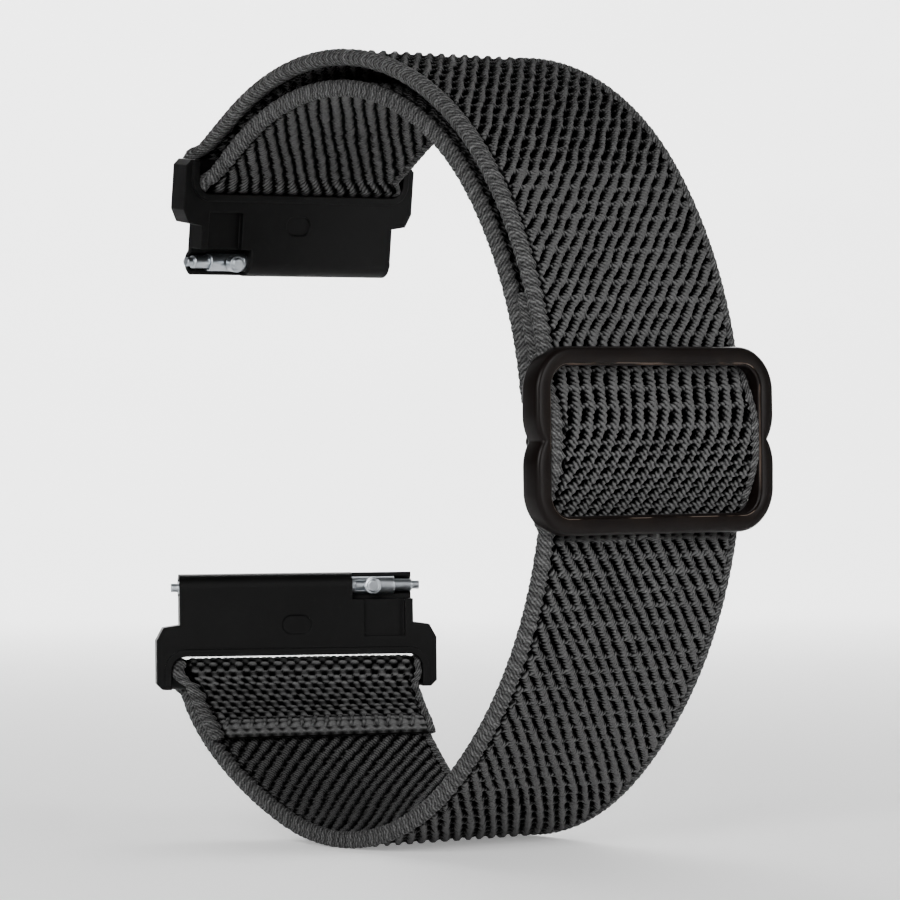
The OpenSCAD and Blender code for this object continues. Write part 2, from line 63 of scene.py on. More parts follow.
# Sizes in millimetres and angles in degrees, as the solids have them
# The tape, the same pinched round a bar, the gap between its plies, its room round a bar
TAPE_W, TAPE_T, PINCH_T, PLY_GAP, SLACK = 20.0, 1.4, 1.1, 1.1, 0.1
# The loop's outside seen from its side: three radii, and the middle of the front one as [y, z]
FRONT_R, TOP_R, BOTTOM_R = 35.3, 26.7, 23.4
FRONT_C = np.array([10.0, 0.0])
# How far the front runs above and below level, and where the bottom ends
FRONT_UP, FRONT_DOWN, BOTTOM_END = 38.0, 53.0, 76.0
# The connectors' bars: the upper one by its angle and its lead past the plies, the lower one by its middle,
# its turn and its lean; and how the tape eases towards each
FOLD_BAR_D = 1.4
UPPER_BAR_ANGLE, UPPER_BAR_LEAD, UPPER_PULL = 45.0, 0.5, 2.0
LOWER_BAR = np.array([0.6, 22.4, -20.2])
LOWER_TURN, LOWER_LEAN, EASE_IN, EASE_OUT = 30.0, 17.0, 5.0, 4.0
# The slider: its outside, its depth, its bars and rails, its corners, and how far its two lobes lap
SLIDER_W, SLIDER_H, SLIDER_T, SLIDER_BAR, SLIDER_RAIL = 24.2, 14.6, 1.4, 1.25, 1.5
SLIDER_R, SLIDER_WINDOW_R, LOBE_LAP = 3.6, 1.8, 1.6
# Its centre bar, set back on legs
CENTRE_BAR_D, CENTRE_BAR_BACK, LEG_T, LEG_FOOT = 1.2, 1.6, 0.25, 2.4
# The tape's bridge over that bar: its room in the slider, its half angle, its level top, its foot
SLIDE_GAP, BRIDGE_HALF, BRIDGE_TOP, FOOT_IN = 0.2, 12.5, 1.0, 0.05
# The tape's end, looped round that bar and sewn between the plies
LOOP_TOP, LOOP_TURN, TAIL_TURN, TAIL_END, LOOP_PULL, TAIL_T = 22.0, 7.5, 12.0, 20.0, 2.0, 0.9

# What only the drawn tape has
# The tab: its length, over what length the pinch eases, how close it lies and over what length it gets there
TAB_LEN, TAB_JOIN, TAB_LIE, TAB_LIE_OVER = 7.0, 2.6, 0.05, 5.4
# Its cut end: how much thinner it is and over what length, how far back it is rounded and to what share
TAB_END_THIN, TAB_END_EASE, TAB_END_ROUND, TAB_END_LEAST = 0.3, 1.5, 0.42, 0.12
# A fold drawn tight: how far from its crown, how much wider it lies, how much flatter its weave is
FOLD_REACH, FOLD_SPREAD, FOLD_FLAT = 3.2, 0.7, 0.4
# How much fuller the outside of each fold stands, and how far before the upper crown that starts
UPPER_FULL, LOWER_FULL, FULL_BEFORE_CROWN = 0.36, 0.1, 0.6
# Over the slider's centre bar the elastic tape is drawn thin, and spreads to fill the window
BRIDGE_T, BRIDGE_GAP, BRIDGE_SPREAD, SPREAD_EASE = 0.85, 0.03, 0.62, 1.2

OUTER_MID = FRONT_R - TAPE_T / 2
INNER_MID = OUTER_MID - TAPE_T - PLY_GAP
TAIL_MID = OUTER_MID - TAPE_T / 2 - PLY_GAP / 2
FOLD_MID = FOLD_BAR_D / 2 + SLACK + PINCH_T / 2


def toward(angle):
    """A unit vector in the loop's plane, at an angle in degrees from +Y."""
    return np.array([math.cos(math.radians(angle)), math.sin(math.radians(angle))])


TOP_FROM, BOTTOM_FROM = 180 - FRONT_UP, 180 + FRONT_DOWN
TOP_C = FRONT_C + (FRONT_R - TOP_R) * toward(TOP_FROM)
BOTTOM_C = FRONT_C + (FRONT_R - BOTTOM_R) * toward(BOTTOM_FROM)
TOP_OUT = TOP_R - TAPE_T / 2
TOP_IN = TOP_OUT - TAPE_T - PLY_GAP
BOTTOM_MID = BOTTOM_R - TAPE_T / 2
UPPER_REACH = max(TOP_OUT - FOLD_MID, TOP_IN + FOLD_MID) + UPPER_BAR_LEAD
UPPER_BAR = TOP_C + UPPER_REACH * toward(UPPER_BAR_ANGLE)
LEAVE_OUT = UPPER_BAR_ANGLE + math.degrees(math.acos((TOP_OUT - FOLD_MID) / UPPER_REACH))
LEAVE_IN = UPPER_BAR_ANGLE + math.degrees(math.acos((TOP_IN + FOLD_MID) / UPPER_REACH))
WINDOW_H = SLIDER_H - 2 * SLIDER_BAR
WINDOW_W = SLIDER_W - 2 * SLIDER_RAIL
SLIDER_IN = math.sqrt(FRONT_R**2 - (WINDOW_H / 2) ** 2) + SLIDE_GAP
CENTRE_AT = SLIDER_IN + CENTRE_BAR_D / 2 - CENTRE_BAR_BACK
LOOP_MID = CENTRE_BAR_D / 2 + SLACK + BRIDGE_T / 2
BRIDGE_LIFT = CENTRE_AT + LOOP_MID + BRIDGE_T + BRIDGE_GAP - OUTER_MID
BRIDGE_FOOT = WINDOW_H / 2 - FOOT_IN
BRIDGE_END = OUTER_MID * math.sin(math.radians(BRIDGE_HALF))


def eased(u):
    """0 up to 0, 1 from 1 on, and a smooth rise between them."""
    u = np.clip(u, 0, 1)
    return u * u * (3 - 2 * u)


# The tape's middle line: stretches of [x, y, z, turn, thickness], so many points to each curve
FINE = 400
NUDGE = 0.01


def flat(points, thickness):
    """Points [y, z] of a stretch that lies in the loop's plane, with their thickness."""
    points = np.asarray(points)
    out = np.zeros((len(points), 5))
    out[:, 1:3] = points
    out[:, 4] = thickness
    return out


def arc(centre, r, start, end, thickness):
    a = np.radians(np.linspace(start, end, FINE))
    return flat(np.stack([centre[0] + r * np.cos(a), centre[1] + r * np.sin(a)], 1), thickness)


def bezier(p, u):
    u = np.asarray(u)[:, None]
    return (1 - u) ** 3 * p[0] + 3 * u * (1 - u) ** 2 * p[1] + 3 * u * u * (1 - u) * p[2] + u**3 * p[3]


def curve(p, thick_from, thick_to):
    u = np.linspace(0, 1, FINE)
    return flat(bezier(p, u), thick_from + (thick_to - thick_from) * eased(u))


def across_at(turn):
    """Unit vectors across the tape, where it is turned by those degrees about the upright."""
    turn = np.radians(turn)
    return np.stack([np.cos(turn), np.sin(turn), np.zeros_like(turn)], 1)


def outward(across, ahead):
    """Unit vectors square to the tape, from its way across and its way ahead."""
    n = np.cross(across, ahead)
    return n / np.linalg.norm(n, axis=1)[:, None]


def round_lower_bar(angle):
    """Places on the tape's middle round the lower bar, at angles in degrees from level."""
    turn, a = math.radians(LOWER_TURN), np.radians(angle)
    way = np.stack([math.sin(turn) * np.cos(a), math.cos(turn) * np.cos(a), np.sin(a)], -1)
    return LOWER_BAR + FOLD_MID * way


def lower_run():
    """The twisted stretch from the bottom curve to the lower bar, from the bar down."""
    reach = round_lower_bar(-LOWER_LEAN)
    start, end = BOTTOM_C + BOTTOM_MID * toward(-BOTTOM_END), reach[1:]
    p = [start, start + EASE_IN * toward(90 - BOTTOM_END), end - EASE_OUT * toward(90 - LOWER_LEAN), end]
    u = np.linspace(1, 0, 3 * FINE)
    out = np.zeros((len(u), 5))
    out[:, 0] = reach[0] * eased(u)
    out[:, 1:3] = bezier(p, u)
    out[:, 3] = -LOWER_TURN * eased(u)
    s = np.concatenate([[0], np.cumsum(np.linalg.norm(np.diff(out[:, :3], axis=0), axis=1))])
    out[:, 4] = TAPE_T + (PINCH_T - TAPE_T) * eased(1 - s / TAB_JOIN)
    return out, s


def lower_tab(run, s):
    """The tab sewn back on that run, from its end up to the bar."""
    tab = run.copy()
    # pressed thinner by its seam towards the cut end, which is turned in and so rounded over
    tab[:, 4] *= 1 - TAB_END_THIN * (1 - eased((TAB_LEN - s) / TAB_END_EASE))
    lying = eased((s - FOLD_BAR_D / 4) / TAB_LIE_OVER)
    off = 2 * FOLD_MID + (run[:, 4] + TAB_LIE - 2 * FOLD_MID) * lying - (run[:, 4] - tab[:, 4]) / 2
    rounding = np.clip(1 - (TAB_LEN - s) / TAB_END_ROUND, 0, 1)
    tab[:, 4] *= np.sqrt(np.clip(1 - rounding**2, TAB_END_LEAST**2, 1))
    tab[:, :3] -= outward(across_at(run[:, 3]), np.gradient(run[:, :3], axis=0)) * off[:, None]
    return tab[s <= TAB_LEN][::-1]


def lower_fold():
    out = np.zeros((FINE, 5))
    out[:, :3] = round_lower_bar(np.linspace(180 - LOWER_LEAN, -LOWER_LEAN, FINE))
    out[:, 3] = -LOWER_TURN
    out[:, 4] = PINCH_T
    return out


def crest(z):
    """1 on the level top of the bridge over the slider's bar, 0 beyond its feet."""
    a = np.abs(z)
    slope = (1 + np.cos(np.pi * (a - BRIDGE_TOP) / (BRIDGE_FOOT - BRIDGE_TOP))) / 2
    return np.where(a < BRIDGE_TOP, 1.0, np.where(a > BRIDGE_FOOT, 0.0, slope))


def bridge_y(z):
    return FRONT_C[0] - np.sqrt(OUTER_MID**2 - z * z) - BRIDGE_LIFT * crest(z)


def bridge_t(z):
    return TAPE_T + (BRIDGE_T - TAPE_T) * crest(z)


def bridge():
    z = np.linspace(-BRIDGE_END, BRIDGE_END, 2 * FINE)
    return flat(np.stack([bridge_y(z), z], 1), bridge_t(z))


def slider_loop():
    """The tape's end: down the inside, round the slider's centre bar and up between the plies."""
    bar = FRONT_C - np.array([CENTRE_AT, 0])
    start, end = FRONT_C + INNER_MID * toward(180 - LOOP_TURN), bar + np.array([LOOP_MID, 0])
    down = [start, start + LOOP_PULL * toward(-90 - LOOP_TURN), end + np.array([0, LOOP_PULL]), end]
    tail_end = OUTER_MID * math.sin(math.radians(TAIL_TURN))
    z = np.linspace(0, tail_end, FINE)
    rise = eased(z / tail_end)
    slope = (bridge_y(z + NUDGE) - bridge_y(z - NUDGE)) / (2 * NUDGE)
    n = np.stack([np.ones_like(z), -slope], 1)
    n /= np.linalg.norm(n, axis=1)[:, None]
    thickness = BRIDGE_T + (TAIL_T - BRIDGE_T) * rise
    lap = (bridge_t(z) + thickness) / 2 + BRIDGE_GAP
    off = lap + (OUTER_MID - TAIL_MID - (TAPE_T + TAIL_T) / 2 - BRIDGE_GAP) * rise
    back = flat(np.stack([bridge_y(z), z], 1) + n * off[:, None], thickness)
    return np.concatenate([
        arc(FRONT_C, INNER_MID, 180 - LOOP_TOP, 180 - LOOP_TURN, TAPE_T),
        curve(down, TAPE_T, BRIDGE_T)[1:],
        arc(bar, LOOP_MID, 0, -180, BRIDGE_T)[1:],
        back[1:],
        arc(FRONT_C, TAIL_MID, 180 - TAIL_TURN, 180 - TAIL_END, TAIL_T)[1:],
    ])


def top_halves():
    """The outer ply over the top to the crown of its fold, and the inner ply back from there."""
    a, b = toward(LEAVE_OUT), toward(LEAVE_IN)
    pull_a, pull_b = UPPER_PULL * toward(LEAVE_OUT - 90), UPPER_PULL * toward(LEAVE_IN + 90)
    a_from, a_to = TOP_C + TOP_OUT * a, UPPER_BAR + FOLD_MID * a
    b_from, b_to = UPPER_BAR - FOLD_MID * b, TOP_C + TOP_IN * b
    crown = (LEAVE_OUT + LEAVE_IN - 180) / 2
    outer = np.concatenate([
        arc(TOP_C, TOP_OUT, TOP_FROM, LEAVE_OUT, TAPE_T),
        curve([a_from, a_from + pull_a, a_to - pull_a, a_to], TAPE_T, PINCH_T)[1:],
        arc(UPPER_BAR, FOLD_MID, LEAVE_OUT, crown, PINCH_T)[1:],
    ])
    inner = np.concatenate([
        arc(UPPER_BAR, FOLD_MID, crown, LEAVE_IN - 180, PINCH_T),
        curve([b_from, b_from + pull_b, b_to - pull_b, b_to], PINCH_T, TAPE_T)[1:],
        arc(TOP_C, TOP_IN, LEAVE_IN, TOP_FROM, TAPE_T)[1:],
    ])
    return outer, inner


run, run_s = lower_run()
top_outer, top_inner = top_halves()
STRETCHES = {
    "tab": lower_tab(run, run_s),
    "lower_fold": lower_fold(),
    "lower_end": run,
    "bottom": arc(BOTTOM_C, BOTTOM_MID, 360 - BOTTOM_END, BOTTOM_FROM, TAPE_T),
    "lower_front": arc(FRONT_C, OUTER_MID, BOTTOM_FROM, 180 + BRIDGE_HALF, TAPE_T),
    "bridge": bridge(),
    "outer_front": arc(FRONT_C, OUTER_MID, 180 - BRIDGE_HALF, TOP_FROM, TAPE_T),
    "top_outer": top_outer,
    "top_inner": top_inner,
    "inner_front": arc(FRONT_C, INNER_MID, TOP_FROM, 180 - LOOP_TOP, TAPE_T),
    "slider_loop": slider_loop(),
}
# How far to each side of a station its direction is taken, and the stations that round the cut end
SIGHT, ROUND_STEPS = 0.15, 5


class Strip:
    """The whole tape as one line: places, vectors and the length at which each stretch ends."""

    def __init__(self, spacing):
        line = np.concatenate(list(STRETCHES.values()))
        step = np.linalg.norm(np.diff(line[:, :3], axis=0), axis=1)
        ends = np.cumsum([len(stretch) for stretch in STRETCHES.values()]) - 1
        length = np.concatenate([[0], np.cumsum(step)])
        self.ends = dict(zip(STRETCHES, length[ends]))
        keep = np.concatenate([[True], step > TINY])
        self.line_s, self.line = length[keep], line[keep]
        marks = np.concatenate([[0], list(self.ends.values())])
        cuts = []
        for a, b in zip(marks, marks[1:]):
            cuts.append(np.linspace(a, b, max(2, int(round((b - a) / spacing)) + 1)))
        rounded = TAB_END_ROUND * (1 - np.cos(np.linspace(0, np.pi / 2, ROUND_STEPS, endpoint=False)))
        cuts[0] = np.concatenate([rounded, cuts[0][cuts[0] > TAB_END_ROUND]])
        self.s = np.concatenate([cuts[0]] + [cut[1:] for cut in cuts[1:]])
        self.at = self.place(self.s)
        ahead = self.place(np.minimum(self.s + SIGHT, self.line_s[-1]))
        behind = self.place(np.maximum(self.s - SIGHT, 0))
        self.w = across_at(self.at[:, 3])
        self.n = outward(self.w, ahead[:, :3] - behind[:, :3])

    def place(self, s):
        """Rows of the middle line at those lengths along it."""
        return np.stack([np.interp(s, self.line_s, self.line[:, k]) for k in range(5)], 1)

    def part(self, *names):
        """Rows of the stations of those stretches."""
        keys = list(STRETCHES)
        first, last = keys.index(names[0]), keys.index(names[-1])
        a = 0 if first == 0 else self.ends[keys[first - 1]]
        b = self.ends[keys[last]]
        return np.where((self.s >= a - TINY) & (self.s <= b + TINY))[0]


# Spacing of the mesh: along the tape, across it where its weave shows or hides, and along its selvedges
SPACING, COLUMN, HIDDEN_COLUMN, EDGE_SPACING = 0.145, 0.14, 0.45, 0.1
strip = Strip(SPACING)
edge_strip = Strip(EDGE_SPACING)

# The twill: cords RIB apart, of strands STRAND apart and aslant, its pits RELIEF deep; the other side's cords
# lie a share of a cord further across
RIB, STRAND, STRAND_SLANT, RELIEF, BACK_SHIFT = 1.2, 0.55, 1.3, 0.42, 0.37
# The selvedge is broad on the left and slim on the right: its middle, its half width, the last of the weave
EDGES = {-1: (9.32, 0.68, 8.78), 1: (9.60, 0.40, 9.36)}
FACE_HALF = 9.5
# For each stretch: how far a cord moves across in a millimetre along, on the side that turns outwards and on
# the other; how much of a groove its ties close there; how far apart they are; how much wider its pits are
SEEN_LEAN, OTHER_LEAN, SEEN_TIED, OTHER_TIED, TIE_APART, PIT_MORE = range(1, 7)
TWILL = [
    ("tab", 0.0, 0.0, 0.0, 0.0, 1.5, 0.0),
    ("lower_fold", 0.0, 0.0, 0.0, 0.0, 1.5, 0.0),
    ("lower_end", -0.72, -1.0, 1.0, 0.0, 1.5, 0.0),
    ("bottom", -0.74, -1.0, 0.75, 0.0, 1.45, 0.07),
    ("lower_front", -0.83, -0.9, 1.0, 0.0, 1.4, 0.0),
    ("bridge", 0.5, 0.5, 1.0, 1.0, 0.86, 0.035),
    ("outer_front", 0.865, 0.8, 1.0, 1.0, 1.4, 0.0),
    ("top_outer", 0.8, 0.8, 0.75, 1.0, 1.3, 0.08),
] + [(name, -0.75, -0.75, 0.12, 0.0, 1.2, 0.0) for name in ("top_inner", "inner_front", "slider_loop")]
# The weave changes over this length round the end of a stretch
CHANGE = 1.6
# Up the window the cords straighten and their ties draw apart, from a little before its middle
WINDOW_TOP_LEAN, WINDOW_TOP_TIE, WINDOW_EASE, WINDOW_EARLY = 0.22, 1.55, 2.0, 0.3
LONG_S = np.linspace(0, strip.s[-1], 6000)


def along_tape(column):
    """One column of TWILL as a smooth function of the length along the tape."""
    starts = [strip.ends[row[0]] for row in TWILL[:-1]]
    value = np.full_like(LONG_S, TWILL[0][column])
    for start, before, row in zip(starts, TWILL, TWILL[1:]):
        value = value + (row[column] - before[column]) * eased((LONG_S - start) / CHANGE + 0.5)
    return value


def window_top():
    """0 up to the middle of the slider's window, 1 from there to its upper bar."""
    low, high = strip.ends["lower_front"], strip.ends["bridge"]
    rise = eased((LONG_S - (low + high) / 2) / WINDOW_EASE + WINDOW_EARLY)
    return rise * eased((high - LONG_S) / CHANGE + 0.5)


def summed(value):
    return np.concatenate([[0], np.cumsum((value[1:] + value[:-1]) / 2 * np.diff(LONG_S))])


# The lean that crosses the strands, and the pitch of ties below which a tied cord breaks up into knuckles
LEAN_CROSSED, KNUCKLE_BELOW, KNUCKLE_EASE, KNUCKLE_TIED = 0.3, 1.3, 0.4, 0.4
LEAN = along_tape(SEEN_LEAN)
LEAN = LEAN + (WINDOW_TOP_LEAN - LEAN) * window_top()
TIE_GAP = along_tape(TIE_APART)
TIE_GAP = TIE_GAP + (WINDOW_TOP_TIE - TIE_GAP) * window_top()
CORD_SHIFT = {1: summed(LEAN), -1: summed(along_tape(OTHER_LEAN))}
CROSSED = {1: np.tanh(along_tape(SEEN_LEAN) / LEAN_CROSSED)}
CROSSED[-1] = np.tanh(along_tape(OTHER_LEAN) / LEAN_CROSSED)
TIED = {1: along_tape(SEEN_TIED), -1: along_tape(OTHER_TIED)}
PIT_WIDER = along_tape(PIT_MORE)
TIES = summed(1 / TIE_GAP)
KNUCKLE = eased((KNUCKLE_BELOW - TIE_GAP) / KNUCKLE_EASE) * (TIED[1] > KNUCKLE_TIED)

# What is uneven in the weave: four random draws for each of so many cords and rows
random = np.random.default_rng(7)
UNEVEN_CORDS, UNEVEN_ROWS = 97, 389
UNEVEN = random.normal(0, 1, (UNEVEN_CORDS, UNEVEN_ROWS, 4))


def uneven(cord, row, amounts):
    """Four small random amounts for a cord and a row of the weave."""
    drawn = UNEVEN[cord.astype(int) % UNEVEN_CORDS, row.astype(int) % UNEVEN_ROWS]
    return np.moveaxis(drawn * amounts, -1, 0)


def wave(x):
    """1 on a whole number, 0 half-way between."""
    return 0.5 + 0.5 * np.cos(2 * np.pi * x)


# Beads: their spacing across and along, their half sizes in it, how square, full and high they are, how their
# rows slant, how uneven their width, length, height and place are, and how far apart neighbours are drawn
BEAD_ACROSS, BEAD_ROW, BEAD_HALF, BEAD_SQUARE, BEAD_FULL = 1.03, 0.55, (0.385, 0.73), 2.1, 0.8
BEAD_HIGH, BEAD_SLANT, BEAD_UNEVEN, BEAD_SPREAD = 0.86, 0.3, (0.02, 0.03, 0.06, 0.03), 5
# Round the fold the outside of the tape is longer than its middle, by this share
FOLD_LONGER = 0.41


def beads(x, s):
    """Plain close weave of small round beads in brick rows, as the tab has it."""
    best = np.zeros(np.broadcast(x, s).shape)
    s = s + FOLD_LONGER * np.clip(s - strip.ends["tab"], 0, None)
    for odd in (0, 1):
        row = 2 * np.round((s / BEAD_ROW - odd) / 2) + odd
        across = x / BEAD_ACROSS - odd / 2
        bead = np.round(across)
        wide, long, high, moved = uneven(BEAD_SPREAD * bead, row, BEAD_UNEVEN)
        a = (across - bead + moved) / (BEAD_HALF[0] + wide)
        b = (s / BEAD_ROW - row + BEAD_SLANT * (across - bead)) / (BEAD_HALF[1] + long)
        crown = np.clip(1 - np.abs(a) ** BEAD_SQUARE - np.abs(b) ** BEAD_SQUARE, 0, 1) ** BEAD_FULL
        best = np.maximum(best, crown * (BEAD_HIGH + high))
    return best


# How the cords wander: reach in cords, and how fast along and across the tape
WANDER = ((0.05, 1.3, 0.9), (0.035, 2.9, -1.7))
# A pit's steep side and its gentle one, in cords from the groove's middle: where it starts, over what it
# rises, how far its strands stand in and out, and how the matted side differs
STEEP_AT, STEEP_RISE, STEEP_TEETH, STEEP_MATTED, MATTED_TEETH = 0.17, 0.13, 0.10, 0.06, 0.14
GENTLE_AT, GENTLE_RISE, GENTLE_TEETH, GENTLE_MATTED, GENTLE_CURVE = 0.09, 0.36, 0.18, 0.08, 1.3
# Ties: their slant, from where and over what they rise, how high, and how much less on knuckles
TIE_SLANT, TIE_FROM, TIE_RISE, TIE_HIGH, KNUCKLE_OPEN, KNUCKLE_LOW = 0.36, 0.73, 0.28, 0.75, 0.15, 0.03
# How deep a cord is cut between its knuckles, and how those cuts slant
KNUCKLE_CUT, CUT_SLANT = 0.42, 0.9
# How much lower a cord is at its crest and on the matted side; its strands' height and where they fade
CREST_DIP, MATTED_LOWER, STRAND_HIGH, STRAND_FADE, KNUCKLE_SMOOTH = 0.14, 0.35, 0.5, 1.32, 0.6
# What is uneven from pit to pit: its place across, its tie's place and its tie's width
PIT_UNEVEN = (0.0, 0.03, 0.04, 0.05)


def cords(u, x, s, tied, crossed):
    """Twill, u in cords across: plump cords of slanting strands, with ties over the pits between them."""
    strand = (s + STRAND_SLANT * crossed * x) / STRAND
    count, knuckle, wider = [np.interp(s, LONG_S, value) for value in (TIES, KNUCKLE, PIT_WIDER)]
    for reach, fast_along, fast_across in WANDER:
        u = u + reach * np.sin(fast_along * s + fast_across * x)
    groove = np.floor(u) + 0.5
    d = (u - groove) * np.where(crossed < 0, -1, 1)
    along = count - TIE_SLANT * d
    _, moved, late, narrow = uneven(groove, np.floor(along), PIT_UNEVEN)
    d = d + moved
    teeth = wave(strand) - 0.5
    # a side of the tape without ties is matted, its grooves narrow and feathered
    matted = 1 - tied
    steep_teeth = (STEEP_TEETH + MATTED_TEETH * matted) * teeth
    steep = eased((-d - STEEP_AT - wider + STEEP_MATTED * matted + steep_teeth) / STEEP_RISE)
    gentle = (d - GENTLE_AT - wider + GENTLE_MATTED * matted + GENTLE_TEETH * teeth) / GENTLE_RISE
    cord = np.where(d < 0, steep, np.clip(gentle, 0, 1) ** GENTLE_CURVE)
    tie = wave(along + late) - (TIE_FROM - KNUCKLE_OPEN * knuckle + narrow)
    bridge = (TIE_HIGH - KNUCKLE_LOW * knuckle) * eased(tie / TIE_RISE) * tied
    loops = 1 - KNUCKLE_CUT * knuckle * (1 - wave(along - 0.5 + CUT_SLANT * d))
    plump = 1 - CREST_DIP * (2 * np.clip(0.5 - np.abs(d), 0, 0.5)) ** 2
    strands = STRAND_HIGH * teeth * cord * (STRAND_FADE - cord) * (1 - KNUCKLE_SMOOTH * knuckle)
    return np.maximum(cord * loops, bridge) * plump * (1 - MATTED_LOWER * matted) + strands


PLAIN_EASE, HIGHEST = 0.8, 1.1


def weave_height(x, s, face):
    """Height of the weave, from 0 in a pit to about 1 on a cord, and the way its strands slant."""
    u = (x - np.interp(s, LONG_S, CORD_SHIFT[face])) / RIB + (BACK_SHIFT if face < 0 else 0)
    crossed = np.interp(s, LONG_S, CROSSED[face])
    twill = cords(u, x, s, np.interp(s, LONG_S, TIED[face]), crossed)
    plain = eased((strip.ends["lower_fold"] - s) / PLAIN_EASE)
    return np.clip(twill * (1 - plain) + beads(x, s) * plain, 0, HIGHEST), crossed


def grid_faces(rows, cols, wrap):
    """Quads of a grid of points, closed round its columns if wrap is true."""
    i, j = np.meshgrid(np.arange(rows - 1), np.arange(cols if wrap else cols - 1), indexing="ij")
    k = (j + 1) % cols
    return np.stack([i * cols + j, i * cols + k, (i + 1) * cols + k, (i + 1) * cols + j], -1).reshape(-1, 4)


def tube(rings):
    """Points and faces of a closed tube through rings of points, capped at both ends."""
    rows, cols = len(rings), len(rings[0])
    faces = [list(face) for face in grid_faces(rows, cols, True)]
    faces += [list(range(cols - 1, -1, -1)), list(range((rows - 1) * cols, rows * cols))]
    return [point for ring in rings for point in ring], faces


def joined(parts):
    """Several sets of points and faces as one."""
    points, faces = [], []
    for part_points, part_faces in parts:
        faces += [[corner + len(points) for corner in face] for face in part_faces]
        points += part_points
    return points, faces


def mesh_of(name, points, faces, materials, which=None, maps=None):
    """A smooth mesh object from points in millimetres, with the maps of vectors that its materials read."""
    mesh = bpy.data.meshes.new(name)
    mesh.vertices.add(len(points))
    mesh.vertices.foreach_set("co", (np.asarray(points) * MM).astype(np.float32).ravel())
    sizes = np.array([len(face) for face in faces])
    corners = np.concatenate([np.asarray(face) for face in faces])
    mesh.loops.add(int(sizes.sum()))
    mesh.loops.foreach_set("vertex_index", corners.astype(np.int32))
    mesh.polygons.add(len(faces))
    mesh.polygons.foreach_set("loop_start", np.concatenate([[0], np.cumsum(sizes)[:-1]]).astype(np.int32))
    mesh.polygons.foreach_set("loop_total", sizes.astype(np.int32))
    for finish in materials:
        mesh.materials.append(finish)
    if which is not None:
        mesh.polygons.foreach_set("material_index", np.asarray(which, np.int32))
    mesh.polygons.foreach_set("use_smooth", np.ones(len(faces), bool))
    mesh.update(calc_edges=True)
    for label, vectors in (maps or {}).items():
        layer = mesh.attributes.new(label, "FLOAT_VECTOR", "POINT")
        layer.data.foreach_set("vector", vectors.astype(np.float32).ravel())
    mesh.validate()
    obj = bpy.data.objects.new(name, mesh)
    bpy.context.scene.collection.objects.link(obj)
    return obj


def tightness(s):
    """1 where the tape is drawn tight round a connector's bar, 0 beyond."""
    lower_crown = (strip.ends["tab"] + strip.ends["lower_fold"]) / 2
    away = np.minimum(np.abs(s - strip.ends["top_outer"]), np.abs(s - lower_crown))
    return eased((FOLD_REACH - away) / SPREAD_EASE)


def fullness(s):
    """How much the tape stands out on the outside of its folds, to fill the connectors' windows."""
    upper = tightness(s) * (s > strip.ends["bridge"])
    # less on the outer ply, which the connector's rim passes as it swings out
    past_crown = s - strip.ends["top_outer"]
    upper_full = upper * eased((past_crown + FULL_BEFORE_CROWN) / SPREAD_EASE)
    return UPPER_FULL * upper_full + LOWER_FULL * (tightness(s) - upper)


def spread(at, s):
    """How much wider the tape lies on each side, in the slider's window and at its folds."""
    inside = (s > strip.ends["lower_front"] - TINY) & (s < strip.ends["bridge"] + TINY)
    window = eased((BRIDGE_FOOT + SPREAD_EASE - np.abs(at[:, 2])) / SPREAD_EASE)
    return np.where(inside, BRIDGE_SPREAD * window, 0) + FOLD_SPREAD * tightness(s)


# Towards a selvedge the weave sinks over this width, down to this height
FADE, SUNK = 0.4, 0.08
# The tab's cut end, turned in and stitched down in soft puffs: their band's length and ease, their spacing,
# base, height and roundness, their dip at the very end, and the furrow above them
END_BAND, BAND_EASE, PUFF, PUFF_BASE, PUFF_HIGH, PUFF_ROUND, END_DIP = 1.55, 0.3, 1.04, 0.46, 0.54, 0.7, 0.15
FURROW_PAST, FURROW_HALF, FURROW_DEEP = 0.2, 0.25, 0.5
# Thin tape has shallower relief, down to this share, and less still under this half thickness
RELIEF_LEAST, THIN_HALF = 0.7, 0.4


def end_puffs(h, x, s):
    """The weave's height with the puffs and the furrow of the tab's cut end."""
    puff = PUFF_BASE + PUFF_HIGH * wave(x / PUFF) ** PUFF_ROUND - END_DIP * eased((BAND_EASE - s) / BAND_EASE)
    band = eased((END_BAND - s) / BAND_EASE + 0.5)
    furrow = eased(1 - np.abs(s - END_BAND - FURROW_PAST) / FURROW_HALF)
    return (h * (1 - band) + puff * band) * (1 - FURROW_DEEP * furrow)


